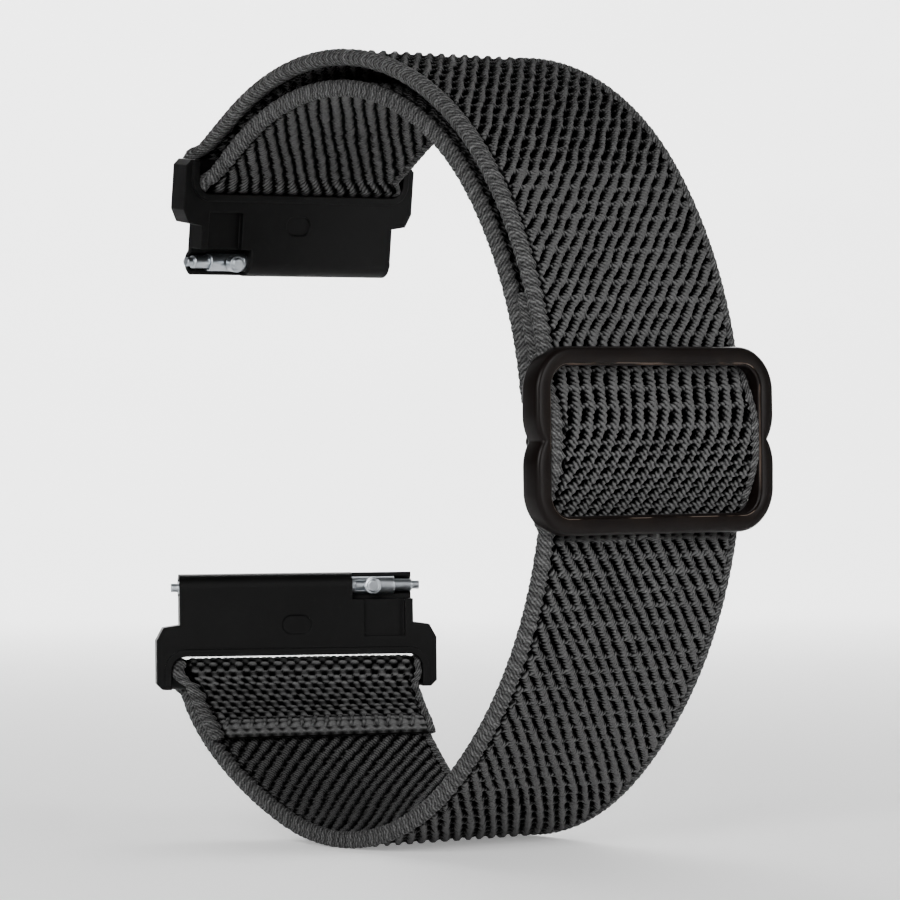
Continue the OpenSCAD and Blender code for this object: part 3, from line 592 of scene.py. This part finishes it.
def woven_body(rows, seen):
    """The two woven faces of a stretch of tape; seen names the ones that show, with a fine mesh."""
    at, w, n, s = strip.at[rows], strip.w[rows], strip.n[rows], strip.s[rows]
    half = at[:, 4][:, None] / 2
    wider = 1 + spread(at, s)[:, None] / (TAPE_W / 2)
    tight, fuller = tightness(s)[:, None], fullness(s)[:, None]
    stout, thin = np.clip(half / (TAPE_T / 2), RELIEF_LEAST, 1), np.clip(half / THIN_HALF, 0, 1)
    sheets = []
    for face in (1, -1):
        column = COLUMN if face in seen else HIDDEN_COLUMN
        across = np.linspace(-FACE_HALF, FACE_HALF, int(round(2 * FACE_HALF / column)) + 1)
        x, along = np.broadcast_arrays(across[None, :], s[:, None])
        last = np.where(x < 0, EDGES[-1][2], EDGES[1][2])
        h, crossed = weave_height(x, along, face)
        h = end_puffs(h, x, along) * (SUNK + (1 - SUNK) * eased((last - np.abs(x)) / FADE))
        deep = RELIEF * (1 - h) * stout * thin * (1 - FOLD_FLAT * tight)
        height = half + (fuller if face > 0 else 0) - deep
        points = at[:, None, :3] + w[:, None] * (x * wider)[..., None] + face * n[:, None] * height[..., None]
        # the weave's height also goes to the materials, which paint its low places dark as shade: pits, the
        # end furrow and the sunk strips by the selvedges
        sheets.append((points, np.stack([x * crossed, along, h], -1)))
    (front, front_weave), (back, back_weave) = sheets
    points = np.concatenate([front, back[:, ::-1]], 1)
    weave = np.concatenate([front_weave, back_weave[:, ::-1]], 1)
    faces = grid_faces(points.shape[0], points.shape[1], True)
    return points.reshape(-1, 3), weave.reshape(-1, 3), faces, points.shape[1]


# The selvedge: loops of yarn bound over each edge, with their lean, depth and reach into the cloth, and
# smaller ones among them
LOOP, LOOP_LEAN, LOOP_DEEP, LOOP_REACH = 0.78, 0.3, 0.09, 0.85
SMALL_LOOP, SMALL_DEEP, SMALL_STRAY = 0.41, 0.05, 1.7
# How the loops stray along the edge, in loops, and how fast
STRAY = ((0.25, 0.83), (0.2, 2.31))
EDGE_PROUD, EDGE_POINTS = 0.03, 16
# How much of the shader's height comes from the large loops
LARGE_SHARE = 0.6


def bound_edges(rows):
    """The selvedges: a bead along each edge, lumpy where its yarn turns back into the cloth."""
    at, w, n, s = edge_strip.at[rows], edge_strip.w[rows], edge_strip.n[rows], edge_strip.s[rows]
    turn = np.linspace(0, 2 * np.pi, EDGE_POINTS, endpoint=False)
    away = np.abs((turn + np.pi) % (2 * np.pi) - np.pi)
    slant = 2 * LOOP_LEAN * away[None, :] / np.pi
    inner = np.clip(-np.cos(turn), 0, 1)[None, :]
    wider, full, s = spread(at, s)[:, None], fullness(s)[:, None], s[:, None]
    out = []
    for edge in (-1, 1):
        stray = STRAY[0][0] * np.sin(s * STRAY[0][1] + edge) + STRAY[1][0] * np.sin(s * STRAY[1][1])
        loop = wave(s / LOOP + slant + stray)
        small = wave(s / (LOOP * SMALL_LOOP) - slant + SMALL_STRAY * stray)
        r = 1 - LOOP_DEEP * (1 - loop) - SMALL_DEEP * (1 - small)
        reach = 1 + LOOP_REACH * inner**3 * (loop - 0.5)
        middle, half_wide, _ = EDGES[edge]
        x = edge * (middle + wider + half_wide * np.cos(turn)[None, :] * r * reach)
        up = at[:, 4][:, None] / 2 + EDGE_PROUD + full * (np.sin(turn)[None, :] > 0)
        up = up * np.sin(turn)[None, :] * r
        points = at[:, None, :3] + w[:, None] * x[..., None] + n[:, None] * up[..., None]
        # the strands keep the broad selvedge's scale round both edges
        around = np.broadcast_to(away * EDGES[-1][1], loop.shape)
        lump = LARGE_SHARE * loop + (1 - LARGE_SHARE) * small
        weave = np.stack([around, np.broadcast_to(s, loop.shape), lump], -1)
        faces = grid_faces(len(s), len(turn), True)[:, ::-edge]
        out.append((points.reshape(-1, 3), weave.reshape(-1, 3), faces, len(turn)))
    return out


def tape_piece(name, stretches, closed, seen):
    """One piece of the tape, its woven body and both edges, with its cut ends closed."""
    parts = [woven_body(strip.part(*stretches), seen)] + bound_edges(edge_strip.part(*stretches))
    faces, which, base = [], [], 0
    for k, (points, _, part_faces, cols) in enumerate(parts):
        faces += list(part_faces + base)
        if "start" in closed:
            faces.append(np.arange(cols)[::-1] + base)
        if "end" in closed:
            faces.append(np.arange(cols) + base + len(points) - cols)
        which += [0 if k == 0 else 1] * (len(faces) - len(which))
        base += len(points)
    points, weave = [np.concatenate([part[k] for part in parts]) for k in (0, 1)]
    return mesh_of(name, points, faces, [nylon, selvedge], which, {"weave": weave})


def linear(hex_colour):
    """An sRGB hex colour as a linear RGBA."""
    c = [int(hex_colour[i:i + 2], 16) / 255 for i in (1, 3, 5)]
    return [v / 12.92 if v <= 0.04045 else ((v + 0.055) / 1.055) ** 2.4 for v in c] + [1.0]


def add(tree, kind, links=None, stops=(), **settings):
    """A node; links maps an input to a value, an output or a node, and stops are a ramp's colours."""
    made = tree.nodes.new("ShaderNode" + kind)
    for key, value in settings.items():
        setattr(made, key, value)
    while stops and len(made.color_ramp.elements) < len(stops):
        made.color_ramp.elements.new(0.5)
    for k, (place, colour) in enumerate(stops):
        made.color_ramp.elements[k].position = place
        made.color_ramp.elements[k].color = linear(colour)
    for key, value in (links or {}).items():
        socket = made.inputs[key]
        if isinstance(value, bpy.types.Node):
            value = value.outputs[0]
        if isinstance(value, bpy.types.NodeSocket):
            tree.links.new(value, socket)
        else:
            socket.default_value = value
    return made


def material(name):
    made = bpy.data.materials.new(name)
    made.use_nodes = True
    tree = made.node_tree
    tree.nodes.clear()
    return made, tree


def finish_with(tree, looks):
    """The material's shader, with those values and links."""
    add(tree, "OutputMaterial", {"Surface": add(tree, "BsdfPrincipled", looks)})


def bands(apart):
    """The wave texture's scale for bands that far apart: it turns by 20 radians in each unit."""
    return 2 * math.pi / (20 * apart)


def weave_place(tree):
    """The weave's own coordinates, in millimetres of cloth, and its height."""
    place = add(tree, "Attribute", attribute_name="weave").outputs["Vector"]
    return place, add(tree, "SeparateXYZ", {0: place}).outputs["Z"]


def laid_strands(tree, place, slant, apart, looks):
    """Bundles of filament so many millimetres apart, lying aslant by those degrees."""
    turn = (0, 0, math.radians(slant))
    turned = add(tree, "Mapping", {"Vector": place, "Rotation": turn, "Scale": (1, 1, 0)})
    return add(tree, "TexWave", {"Vector": turned, "Scale": bands(apart)} | looks).outputs["Fac"]


def clouded(tree, to_a_mm, smoothest, roughest):
    """The object's coordinates, soft clouds, so many to a millimetre, and a roughness that follows them."""
    where = add(tree, "TexCoord").outputs["Object"]
    cloud = add(tree, "TexNoise", {"Vector": where, "Scale": to_a_mm / MM, "Detail": 3.0}).outputs["Fac"]
    return where, cloud, add(tree, "MapRange", {0: cloud, 3: smoothest, 4: roughest})


def nylon_cloth():
    """Elastic nylon twill: soft charcoal cords of bulky yarn, with the pits between them painted near black
    as shade.
    """
    made, tree = material("nylon_twill")
    place, height = weave_place(tree)
    # a third of a millimetre apart, aslant across each cord
    strands = laid_strands(tree, place, -37.6, 0.3342, {
        "Distortion": 2.4, "Detail": 2.0, "Detail Scale": 2.0})
    # tufts, 6.5 to a millimetre, and patches of just over a millimetre
    fuzz = add(tree, "TexNoise", {"Vector": place, "Scale": 6.5, "Detail": 5.0, "Roughness": 0.65})
    patch = add(tree, "TexNoise", {"Vector": place, "Scale": 0.9, "Detail": 2.0})
    # the strands show most on the flanks of a cord, half-way down to a pit
    left = add(tree, "Math", {0: 1.0, 1: height}, operation="SUBTRACT")
    flank = add(tree, "Math", {0: left, 1: height}, operation="MULTIPLY")
    share = add(tree, "Math", {0: flank, 1: 1.9, 2: 0.09}, operation="MULTIPLY_ADD")
    lift = add(tree, "Math", {0: fuzz, 1: 0.75, 2: height}, operation="MULTIPLY_ADD")
    stranded = add(tree, "Math", {0: strands, 1: share, 2: lift}, operation="MULTIPLY_ADD")
    patched = add(tree, "Math", {0: patch, 1: 0.18, 2: stranded}, operation="MULTIPLY_ADD")
    # the colour follows the weave's height and is near black in the pits: painted shade in the hollows, over
    # the yarn's own charcoal
    tone_with_painted_shade = add(tree, "MapRange", {0: patched, 1: 0.60, 2: 1.72})
    colour = add(tree, "ValToRGB", {"Fac": tone_with_painted_shade}, [
        (0.0, "#000000"), (0.22, "#040404"), (0.45, "#1d1d1d"), (0.68, "#3d3d3d"), (1.0, "#626262")])
    faint = add(tree, "Math", {0: strands, 1: 0.45}, operation="MULTIPLY")
    rise = add(tree, "Math", {0: fuzz, 1: 1.5, 2: faint}, operation="MULTIPLY_ADD")
    bump = add(tree, "Bump", {"Height": rise, "Strength": 1.0, "Distance": 0.09 * MM})
    rough = add(tree, "MapRange", {0: fuzz, 3: 0.72, 4: 0.95})
    # the specular is turned down towards the pits: painted shade, standing in for the pits' shadow
    pit_shaded_specular = add(tree, "MapRange", {0: height, 3: 0.0, 4: 0.12})
    finish_with(tree, {
        "Base Color": colour, "Roughness": rough, "Normal": bump, "IOR": 1.53,
        "Specular IOR Level": pit_shaded_specular})
    return made


def selvedge_cloth():
    """Bound selvedge: fine strands of the same nylon laid aslant over the edge, so lighter and smoother, and
    painted darker in the dips between its loops as shade.
    """
    made, tree = material("nylon_selvedge")
    place, height = weave_place(tree)
    # 0.27 mm apart, meeting in a herringbone on the middle of the edge
    strands = laid_strands(tree, place, -52, 0.2732, {"Distortion": 4.5, "Detail": 3.0, "Detail Scale": 1.3})
    faint = add(tree, "Math", {0: strands, 1: 0.6}, operation="MULTIPLY")
    # tufts, 5.5 to a millimetre
    fuzz = add(tree, "TexNoise", {"Vector": place, "Scale": 5.5, "Detail": 4.0, "Roughness": 0.6})
    rise = add(tree, "Math", {0: fuzz, 1: 1.9, 2: faint}, operation="MULTIPLY_ADD")
    # darker where the loops dip between each other: painted shade
    lumpy = add(tree, "Math", {0: height, 1: 0.6, 2: rise}, operation="MULTIPLY_ADD")
    tone_with_painted_shade = add(tree, "MapRange", {0: lumpy, 1: 0.95, 2: 2.2})
    colour = add(tree, "ValToRGB", {"Fac": tone_with_painted_shade}, [
        (0.0, "#121212"), (0.3, "#313131"), (0.62, "#474747"), (1.0, "#6c6c6c")])
    bump = add(tree, "Bump", {"Height": rise, "Strength": 0.9, "Distance": 0.07 * MM})
    finish_with(tree, {
        "Base Color": colour, "Roughness": 0.85, "Normal": bump, "IOR": 1.53, "Specular IOR Level": 0.12})
    return made


def sewing_thread():
    """Bonded polyester thread: tight, a little brighter than the nylon it holds."""
    made, tree = material("polyester_thread")
    where = add(tree, "TexCoord").outputs["Object"]
    # turns 0.7 mm apart along the thread; a diagonal wave has half as many bands along each axis
    twist = add(tree, "TexWave", {
        "Vector": where, "Scale": 2 * bands(0.698 * MM), "Distortion": 1.0}, bands_direction="DIAGONAL")
    colour = add(tree, "ValToRGB", {"Fac": twist.outputs["Fac"]}, [(0.0, "#161616"), (1.0, "#464646")])
    bump = add(tree, "Bump", {"Height": twist.outputs["Fac"], "Strength": 0.6, "Distance": 0.03 * MM})
    finish_with(tree, {"Base Color": colour, "Roughness": 0.6, "Normal": bump, "IOR": 1.53})
    return made


def slider_enamel():
    """Cast zinc alloy, stoved with brown-black enamel: smooth and glossy, with a painted highlight along its
    window and edge wear mixed with painted highlight on its sharp edges.
    """
    made, tree = material("stoved_enamel")
    # clouds of about 4 mm, and patches of about 2.5 mm in the painted highlight
    where, cloud, rough = clouded(tree, 0.26, 0.26, 0.42)
    patchy = add(tree, "TexNoise", {"Vector": where, "Scale": 0.42 / MM, "Detail": 1.0})
    edge = add(tree, "MapRange", {0: add(tree, "NewGeometry").outputs["Pointiness"], 1: 0.53, 2: 0.60})
    edge_wear_and_highlight = add(tree, "Math", {0: edge, 1: cloud}, operation="MULTIPLY")
    # how bright each place is painted as a highlight comes with the mesh
    painted_rings = add(tree, "SeparateXYZ", {0: add(tree, "Attribute", attribute_name="painted_highlight").outputs["Vector"]})
    highlight_patches = add(tree, "MapRange", {0: patchy, 1: 0.38, 2: 0.58})
    painted_highlight = add(tree, "Math", {0: painted_rings.outputs["X"], 1: highlight_patches}, operation="MULTIPLY")
    highlight_and_wear = add(tree, "Math", {0: painted_highlight, 1: 0.85, 2: edge_wear_and_highlight}, operation="MULTIPLY_ADD")
    # the bright end of the ramp is the painted highlight along the window, with some edge wear
    colour = add(tree, "ValToRGB", {"Fac": highlight_and_wear}, [
        (0.0, "#0c0807"), (0.4, "#120d0a"), (0.7, "#4a3e36"), (1.0, "#a39a92")])
    bump = add(tree, "Bump", {"Height": cloud, "Strength": 0.25, "Distance": 0.02 * MM})
    finish_with(tree, {
        "Base Color": colour, "Roughness": rough, "Normal": bump, "IOR": 1.5,
        "Specular IOR Level": 0.1})
    return made


def connector_plastic():
    """Moulded black acetal: a fine spark-eroded grain, with its rims rounded in the shading."""
    made, tree = material("moulded_acetal")
    # clouds of 5 to 6 mm from the mould, and grit of 0.2 mm
    where, cloud, rough = clouded(tree, 0.18, 0.42, 0.62)
    grain = add(tree, "TexNoise", {"Vector": where, "Scale": 5.2 / MM, "Detail": 2.0})
    colour = add(tree, "ValToRGB", {"Fac": cloud}, [(0.3, "#030303"), (0.75, "#080808")])
    rounded = add(tree, "Bevel", {"Radius": 0.18 * MM}, samples=6)
    bump = add(tree, "Bump", {
        "Height": grain, "Strength": 0.18, "Distance": 0.02 * MM, "Normal": rounded})
    finish_with(tree, {
        "Base Color": colour, "Roughness": rough, "Normal": bump, "IOR": 1.48,
        "Specular IOR Level": 0.12})
    return made


def bright_steel():
    """Drawn and turned stainless steel: bright, with faint rings from the lathe."""
    made, tree = material("turned_stainless")
    # clouds of about 1 mm, and rings 0.45 mm apart, coarser than the lathe's so that they show
    where, cloud, rough = clouded(tree, 0.9, 0.28, 0.38)
    rings = add(tree, "TexWave", {"Vector": where, "Scale": bands(0.4488 * MM), "Distortion": 0.4})
    colour = add(tree, "ValToRGB", {"Fac": cloud}, [(0.25, "#a3a8ad"), (0.8, "#bcc1c6")])
    rounded = add(tree, "Bevel", {"Radius": 0.2 * MM}, samples=8)
    bump = add(tree, "Bump", {
        "Height": rings.outputs["Fac"], "Strength": 0.05, "Distance": 0.005 * MM, "Normal": rounded})
    finish_with(tree, {"Base Color": colour, "Metallic": 1.0, "Roughness": rough, "Normal": bump})
    return made


nylon, selvedge, thread = nylon_cloth(), selvedge_cloth(), sewing_thread()
enamel, acetal, steel = slider_enamel(), connector_plastic(), bright_steel()

# The tape's pieces: the stretches of each, its cut end, its faces that show, the solid that it stands for,
# and the body it rides on or the two that it lies between
TAPE = [
    ("nylon_tab", ("tab", "lower_fold"), ("start",), (1,), "tape_lower_fold", "strap"),
    ("nylon_lower_end", ("lower_end",), (), (1, -1), "tape_lower_end", "strap"),
    ("nylon_bottom", ("bottom",), (), (1, -1), "tape_bottom", "strap"),
    ("nylon_lower_front", ("lower_front",), (), (1, -1), "tape_lower_front", ("strap", "slider")),
    ("nylon_bridge", ("bridge",), (), (1,), "tape_bridge", "slider"),
    ("nylon_outer_front", ("outer_front",), (), (1,), "tape_outer_front", ("slider", "strap")),
    ("nylon_top_outer", ("top_outer",), (), (1,), "tape_top", "strap"),
    ("nylon_top_inner", ("top_inner",), (), (1,), "tape_top", "strap"),
    ("nylon_inner_front", ("inner_front",), (), (1,), "tape_inner_front", ("strap", "slider")),
    ("nylon_slider_loop", ("slider_loop",), ("end",), (1,), "tape_slider_loop", "slider"),
]
for name, stretches, closed, seen, solid, body in TAPE:
    piece = tape_piece(name, stretches, closed, seen)
    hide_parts(solid)
    if isinstance(body, tuple):
        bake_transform(piece)
    else:
        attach(piece, body)

# A row of lockstitches: how many, its margins, their lean, the thread's radius and rounded ends, how proud a
# stitch lies and how deep its ends dive
STITCHES, SEAM_MARGIN, STITCH_LEAN, LEAN_UNEVEN = 16, 1.3, 0.2, 0.05
THREAD_R, THREAD_END, STITCH_PROUD, STITCH_DIVE = 0.17, 0.05, 0.02, 0.28
STITCH_RINGS, THREAD_POINTS = 9, 8


def stitches(name, s, length, solid, body):
    """A row of lockstitches across the tape, each a bent length of thread sunk in the cloth."""
    station = int(np.argmin(np.abs(edge_strip.s - s)))
    at, w, n = edge_strip.at[station], edge_strip.w[station], edge_strip.n[station]
    along = np.cross(n, w)
    rows = []
    for i in range(STITCHES):
        x = (i - (STITCHES - 1) / 2) * (TAPE_W - 2 * SEAM_MARGIN) / STITCHES
        lean = STITCH_LEAN + LEAN_UNEVEN * random.normal()
        rings = []
        for u in np.linspace(-1, 1, STITCH_RINGS):
            r = THREAD_R * math.sqrt(max(THREAD_END, 1 - u**6))
            height = at[4] / 2 + STITCH_PROUD - STITCH_DIVE * u**4
            middle = at[:3] + w * (x + lean * u) + along * (u * length / 2) + n * height
            turn = np.linspace(0, 2 * np.pi, THREAD_POINTS, endpoint=False)
            rings.append([middle + w * (r * math.cos(a)) + n * (r * math.sin(a)) for a in turn])
        rows.append(tube(rings))
    piece = mesh_of(name, *joined(rows), [thread])
    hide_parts(solid)
    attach(piece, body)


# How far inside its end band the tab's seam lies, and how long the stitches are
SEAM_IN, TAB_STITCH, LOOP_STITCH = 0.35, 1.3, 1.2
stitches("tab_stitches", END_BAND - SEAM_IN, TAB_STITCH, "tab_seam", "strap")
loop_s = strip.ends["inner_front"] + INNER_MID * math.radians((LOOP_TOP - TAIL_TURN) / 2)
stitches("loop_stitches", loop_s, LOOP_STITCH, "loop_seam", "slider")

# The slider's section as [how far into the metal, how far from its back]: the outside to the front, and the
# stepped window to the back
OUTSIDE = [(0.12, 0), (0.03, 0.04), (0, 0.13), (0, 0.98), (0.03, 1.14), (0.10, 1.27), (0.20, 1.36),
           (0.33, SLIDER_T)]
WINDOW = [(0.20, SLIDER_T), (0.15, 1.375), (0.13, 1.32), (0.125, 1.24), (0.10, 1.215), (0.02, 1.20),
          (-0.03, 1.185), (-0.05, 1.14), (-0.05, 0.12), (-0.02, 0.03), (0.06, 0)]
# How bright the window's first rings are painted as a highlight, and how far short of its right side that
# painted highlight ends
HIGHLIGHT_RINGS, HIGHLIGHT_SHORT, HIGHLIGHT_EASE = [0.45, 1.0, 0.55], 0.35, 0.4
# At its top and bottom the window's step goes this far into it, not into the bars
STEP_IN = 0.2
# Behind the rails, clear of the tape, the casting is deeper: by how much, up to where, from where across
RAIL_DEEPER, RAIL_DEEP_TO, RAIL_CLEAR, RAIL_EASE = 0.5, 0.9, 0.4, 0.5
# Points along half the top, round a corner and down half a side
TOP_POINTS, CORNER_POINTS, SIDE_POINTS, BAR_POINTS = 8, 14, 14, 20
# A leg's side, as [how far behind the slider's front, how many times half a foot wide]
LEG_SIDE = [(-0.6, 1.9), (0.1, 1.75), (0.7, 1.2)]
# Round the centre bar: how far a leg stands over it, its flare before it, where its round part starts and
# its points, and the trim of its outer edge
LEG_OVER, LEG_FLARE, LEG_OPEN, LEG_POINTS, LEG_TRIM = 0.02, 0.12, 0.4, 8, 0.1


def slider_outline(outside, into):
    """The slider's outside or its window, so far into the metal: points [x, z] once round."""
    if outside:
        r, c_x, c_top = SLIDER_R - into, SLIDER_W / 2 - SLIDER_R, SLIDER_H / 2 - SLIDER_R
        # each side has two lobes that meet half-way down
        c_low = SLIDER_R - LOBE_LAP
        waist = math.asin(min(1, c_low / r))
        lower = [[c_x + r * math.cos(a), c_low - r * math.sin(a)] for a in np.linspace(0, waist, SIDE_POINTS)]
    else:
        r, c_x = SLIDER_WINDOW_R + into, WINDOW_W / 2 - SLIDER_WINDOW_R
        c_top = WINDOW_H / 2 - SLIDER_WINDOW_R - STEP_IN
        lower = [[c_x + r, z] for z in np.linspace(c_top, 0, SIDE_POINTS)]
    upper = [[x, c_top + r] for x in np.linspace(0, c_x, TOP_POINTS, endpoint=False)]
    corner = np.linspace(0, math.pi / 2, CORNER_POINTS, endpoint=False)
    upper += [[c_x + r * math.sin(a), c_top + r * math.cos(a)] for a in corner]
    quarter = np.array(upper + lower)
    right = np.concatenate([quarter, (quarter * [1, -1])[::-1][1:]])
    left = (right * [-1, 1])[::-1]
    return np.concatenate([right, left[1:-1]])


def slider_frame(front):
    """The figure-eight ring: a rounded outside and a stepped window, closed behind."""
    outlines = [(slider_outline(True, into), t) for into, t in OUTSIDE]
    outlines += [(slider_outline(False, into), t) for into, t in WINDOW]
    cols = len(outlines[0][0])
    points = []
    for outline, t in outlines:
        for x, z in outline:
            clear = eased((abs(x) - TAPE_W / 2 - RAIL_CLEAR) / RAIL_EASE)
            points.append([x, front - t + RAIL_DEEPER * (1 - eased(t / RAIL_DEEP_TO)) * clear, z])
    faces = [list(face) for face in grid_faces(len(outlines), cols, True)]
    last = (len(outlines) - 1) * cols
    faces += [[last + j, last + (j + 1) % cols, (j + 1) % cols, j] for j in range(cols)]
    return points, faces


def centre_bar(back):
    """The bar that the tape goes round, from leg to leg."""
    turn = np.linspace(0, 2 * np.pi, BAR_POINTS, endpoint=False)
    r, half = CENTRE_BAR_D / 2, WINDOW_W / 2 + LEG_T
    return tube([[[x, back + r * math.cos(a), r * math.sin(a)] for a in turn] for x in (-half, half)])


def leg(side, front, back):
    """A leg of the centre bar, broad where it leaves the rail and round where it holds the bar."""
    thin = CENTRE_BAR_D / 2
    outline = [[front + behind, wide * (LEG_FOOT / 2)] for behind, wide in LEG_SIDE]
    outline.append([back, thin + LEG_FLARE])
    r = thin + LEG_OVER
    around = np.linspace(LEG_OPEN, math.pi - LEG_OPEN, LEG_POINTS)
    outline += [[back + r * math.sin(a), r * math.cos(a)] for a in around]
    outline += [[y, -z] for y, z in outline[len(LEG_SIDE)::-1]]
    rings = []
    for out, trim in ((0, 0), (LEG_T - LEG_TRIM, 0), (LEG_T, LEG_TRIM)):
        x = side * (WINDOW_W / 2 + out)
        rings.append([[x, y - trim * (y > front), z * (1 - trim / 2)] for y, z in outline])
    return tube(rings)


def slider():
    """The slider: a cast figure-eight ring, with a centre bar set back on two legs."""
    front = FRONT_C[0] - SLIDER_IN
    back = front - CENTRE_BAR_D / 2 + CENTRE_BAR_BACK
    points, faces = joined([slider_frame(front), centre_bar(back), leg(-1, front, back), leg(1, front, back)])
    points = np.array(points)
    cols = len(slider_outline(True, 0))
    # the window's first rings carry a painted highlight, fading out short of the window's right side
    rings = [0.0] * len(OUTSIDE) + HIGHLIGHT_RINGS + [0.0] * (len(WINDOW) - len(HIGHLIGHT_RINGS))
    painted_highlight = np.zeros(points.shape)
    painted_highlight[:len(rings) * cols, 0] = np.repeat(rings, cols)
    painted_highlight[:, 0] *= np.clip((WINDOW_W / 2 - HIGHLIGHT_SHORT - points[:, 0]) / HIGHLIGHT_EASE, 0, 1)
    piece = mesh_of("slider_ring", points, faces, [enamel], maps={"painted_highlight": painted_highlight})
    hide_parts("slider_frame")
    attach(piece, "slider")


slider()

# The connectors and the spring bars keep their solids
for end in ("upper", "lower"):
    for solid, finish in (
        ("connector", acetal), ("bar_tube", steel), ("fixed_tip", steel),
        ("bar_spring", steel), ("plunger", steel), ("release_lever", steel),
    ):
        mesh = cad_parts[f"{end}_{solid}"].data
        mesh.materials.clear()
        mesh.materials.append(finish)


# The studio: the floor's reach to the front and back, half its width, the sweep up to the backdrop, the
# backdrop's height, and how far they turn towards the camera
FLOOR_FRONT, FLOOR_BACK, FLOOR_HALF, SWEEP_R, BACKDROP_H, FLOOR_TURN = -900, 500, 1600, 250, 1500, -40
SWEEP_FROM, SWEEP_POINTS = 0.1, 12


def ground():
    """A pale floor that curves up into a backdrop behind the strap."""
    low = CAD_BOX[0][2] / MM
    profile = [(FLOOR_FRONT, low), (FLOOR_BACK, low)]
    for a in np.linspace(SWEEP_FROM, math.pi / 2, SWEEP_POINTS):
        profile.append((FLOOR_BACK + SWEEP_R * math.sin(a), low + SWEEP_R * (1 - math.cos(a))))
    profile.append((FLOOR_BACK + SWEEP_R, low + BACKDROP_H))
    points = [[x, y, z] for y, z in profile for x in (-FLOOR_HALF, FLOOR_HALF)]
    faces = [[2 * i, 2 * i + 1, 2 * i + 3, 2 * i + 2] for i in range(len(profile) - 1)]
    made, tree = material("pale_paper")
    grain = add(tree, "TexNoise", {"Scale": 60.0})
    colour = add(tree, "ValToRGB", {"Fac": grain}, [(0.3, "#f4f4f4"), (0.7, "#f8f8f8")])
    # the sheet is translucent and lit from behind, as on a light table
    finish_with(tree, {
        "Base Color": colour, "Roughness": 0.9, "Emission Color": (1, 1, 1, 1), "Emission Strength": 0.28})
    floor = mesh_of("floor", points, faces, [made])
    floor.rotation_euler = (0, 0, math.radians(FLOOR_TURN))


ground()


def stand(name, data, right, up, back, place):
    """An object of the scene at a place in metres, by its three directions."""
    obj = bpy.data.objects.new(name, data)
    bpy.context.scene.collection.objects.link(obj)
    obj.matrix_world = Matrix([[right[i], up[i], back[i], place[i]] for i in range(3)] + [[0, 0, 0, 1]])
    return obj


def soft_light(name, place, target, size, power):
    """A softbox, aimed from one place in millimetres to another, with its power in watts."""
    lamp = bpy.data.lights.new(name, "AREA")
    lamp.shape = "RECTANGLE"
    lamp.size, lamp.size_y = size[0] * MM, size[1] * MM
    lamp.energy = power
    place, target = np.array(place) * MM, np.array(target) * MM
    back = (place - target) / np.linalg.norm(place - target)
    right = np.cross([0, 0, 1], back)
    right /= np.linalg.norm(right)
    stand(name, lamp, right, np.cross(back, right), back, place)


soft_light("front_softbox", (-420, -330, 200), (0, 0, 0), (240, 300), 3.3)
soft_light("side_softbox", (120, -480, 120), (0, 0, 0), (160, 300), 1.6)
soft_light("backdrop_softbox", (420, 560, 520), (620, 860, -20), (700, 300), 18.0)

world = bpy.data.worlds.new("studio")
world.use_nodes = True
surroundings = world.node_tree.nodes["Background"].inputs
surroundings["Color"].default_value = (1, 1, 1, 1)
surroundings["Strength"].default_value = 0.1
bpy.context.scene.world = world

# The camera, fitted to the photo's outline: its angles, its distance, its lens, and how far in pixels the
# photo's middle lies from its axis
VIEW_TURN, VIEW_TILT, VIEW_ROLL = -38.01, 0.105, -0.564
VIEW_DISTANCE, VIEW_LENS, VIEW_SENSOR = 409.53, 200, 36
PHOTO_W, SHIFT_RIGHT, SHIFT_UP = 900, 0.465, -8.25


def camera():
    """The photograph's view: a long lens, level with the strap, from the left of its front."""
    turn, tilt, roll = math.radians(VIEW_TURN), math.radians(VIEW_TILT), math.radians(VIEW_ROLL)
    back = np.array([math.sin(turn) * math.cos(tilt), -math.cos(turn) * math.cos(tilt), math.sin(tilt)])
    right = np.array([math.cos(turn), math.sin(turn), 0])
    up = np.cross(back, right)
    right, up = right * math.cos(roll) + up * math.sin(roll), -right * math.sin(roll) + up * math.cos(roll)
    lens = bpy.data.cameras.new("photo_view")
    lens.lens, lens.sensor_width = VIEW_LENS, VIEW_SENSOR
    lens.clip_start, lens.clip_end = 0.01, 20
    lens.shift_x, lens.shift_y = SHIFT_RIGHT / PHOTO_W, SHIFT_UP / PHOTO_W
    bpy.context.scene.camera = stand("photo_view", lens, right, up, back, back * VIEW_DISTANCE * MM)


camera()
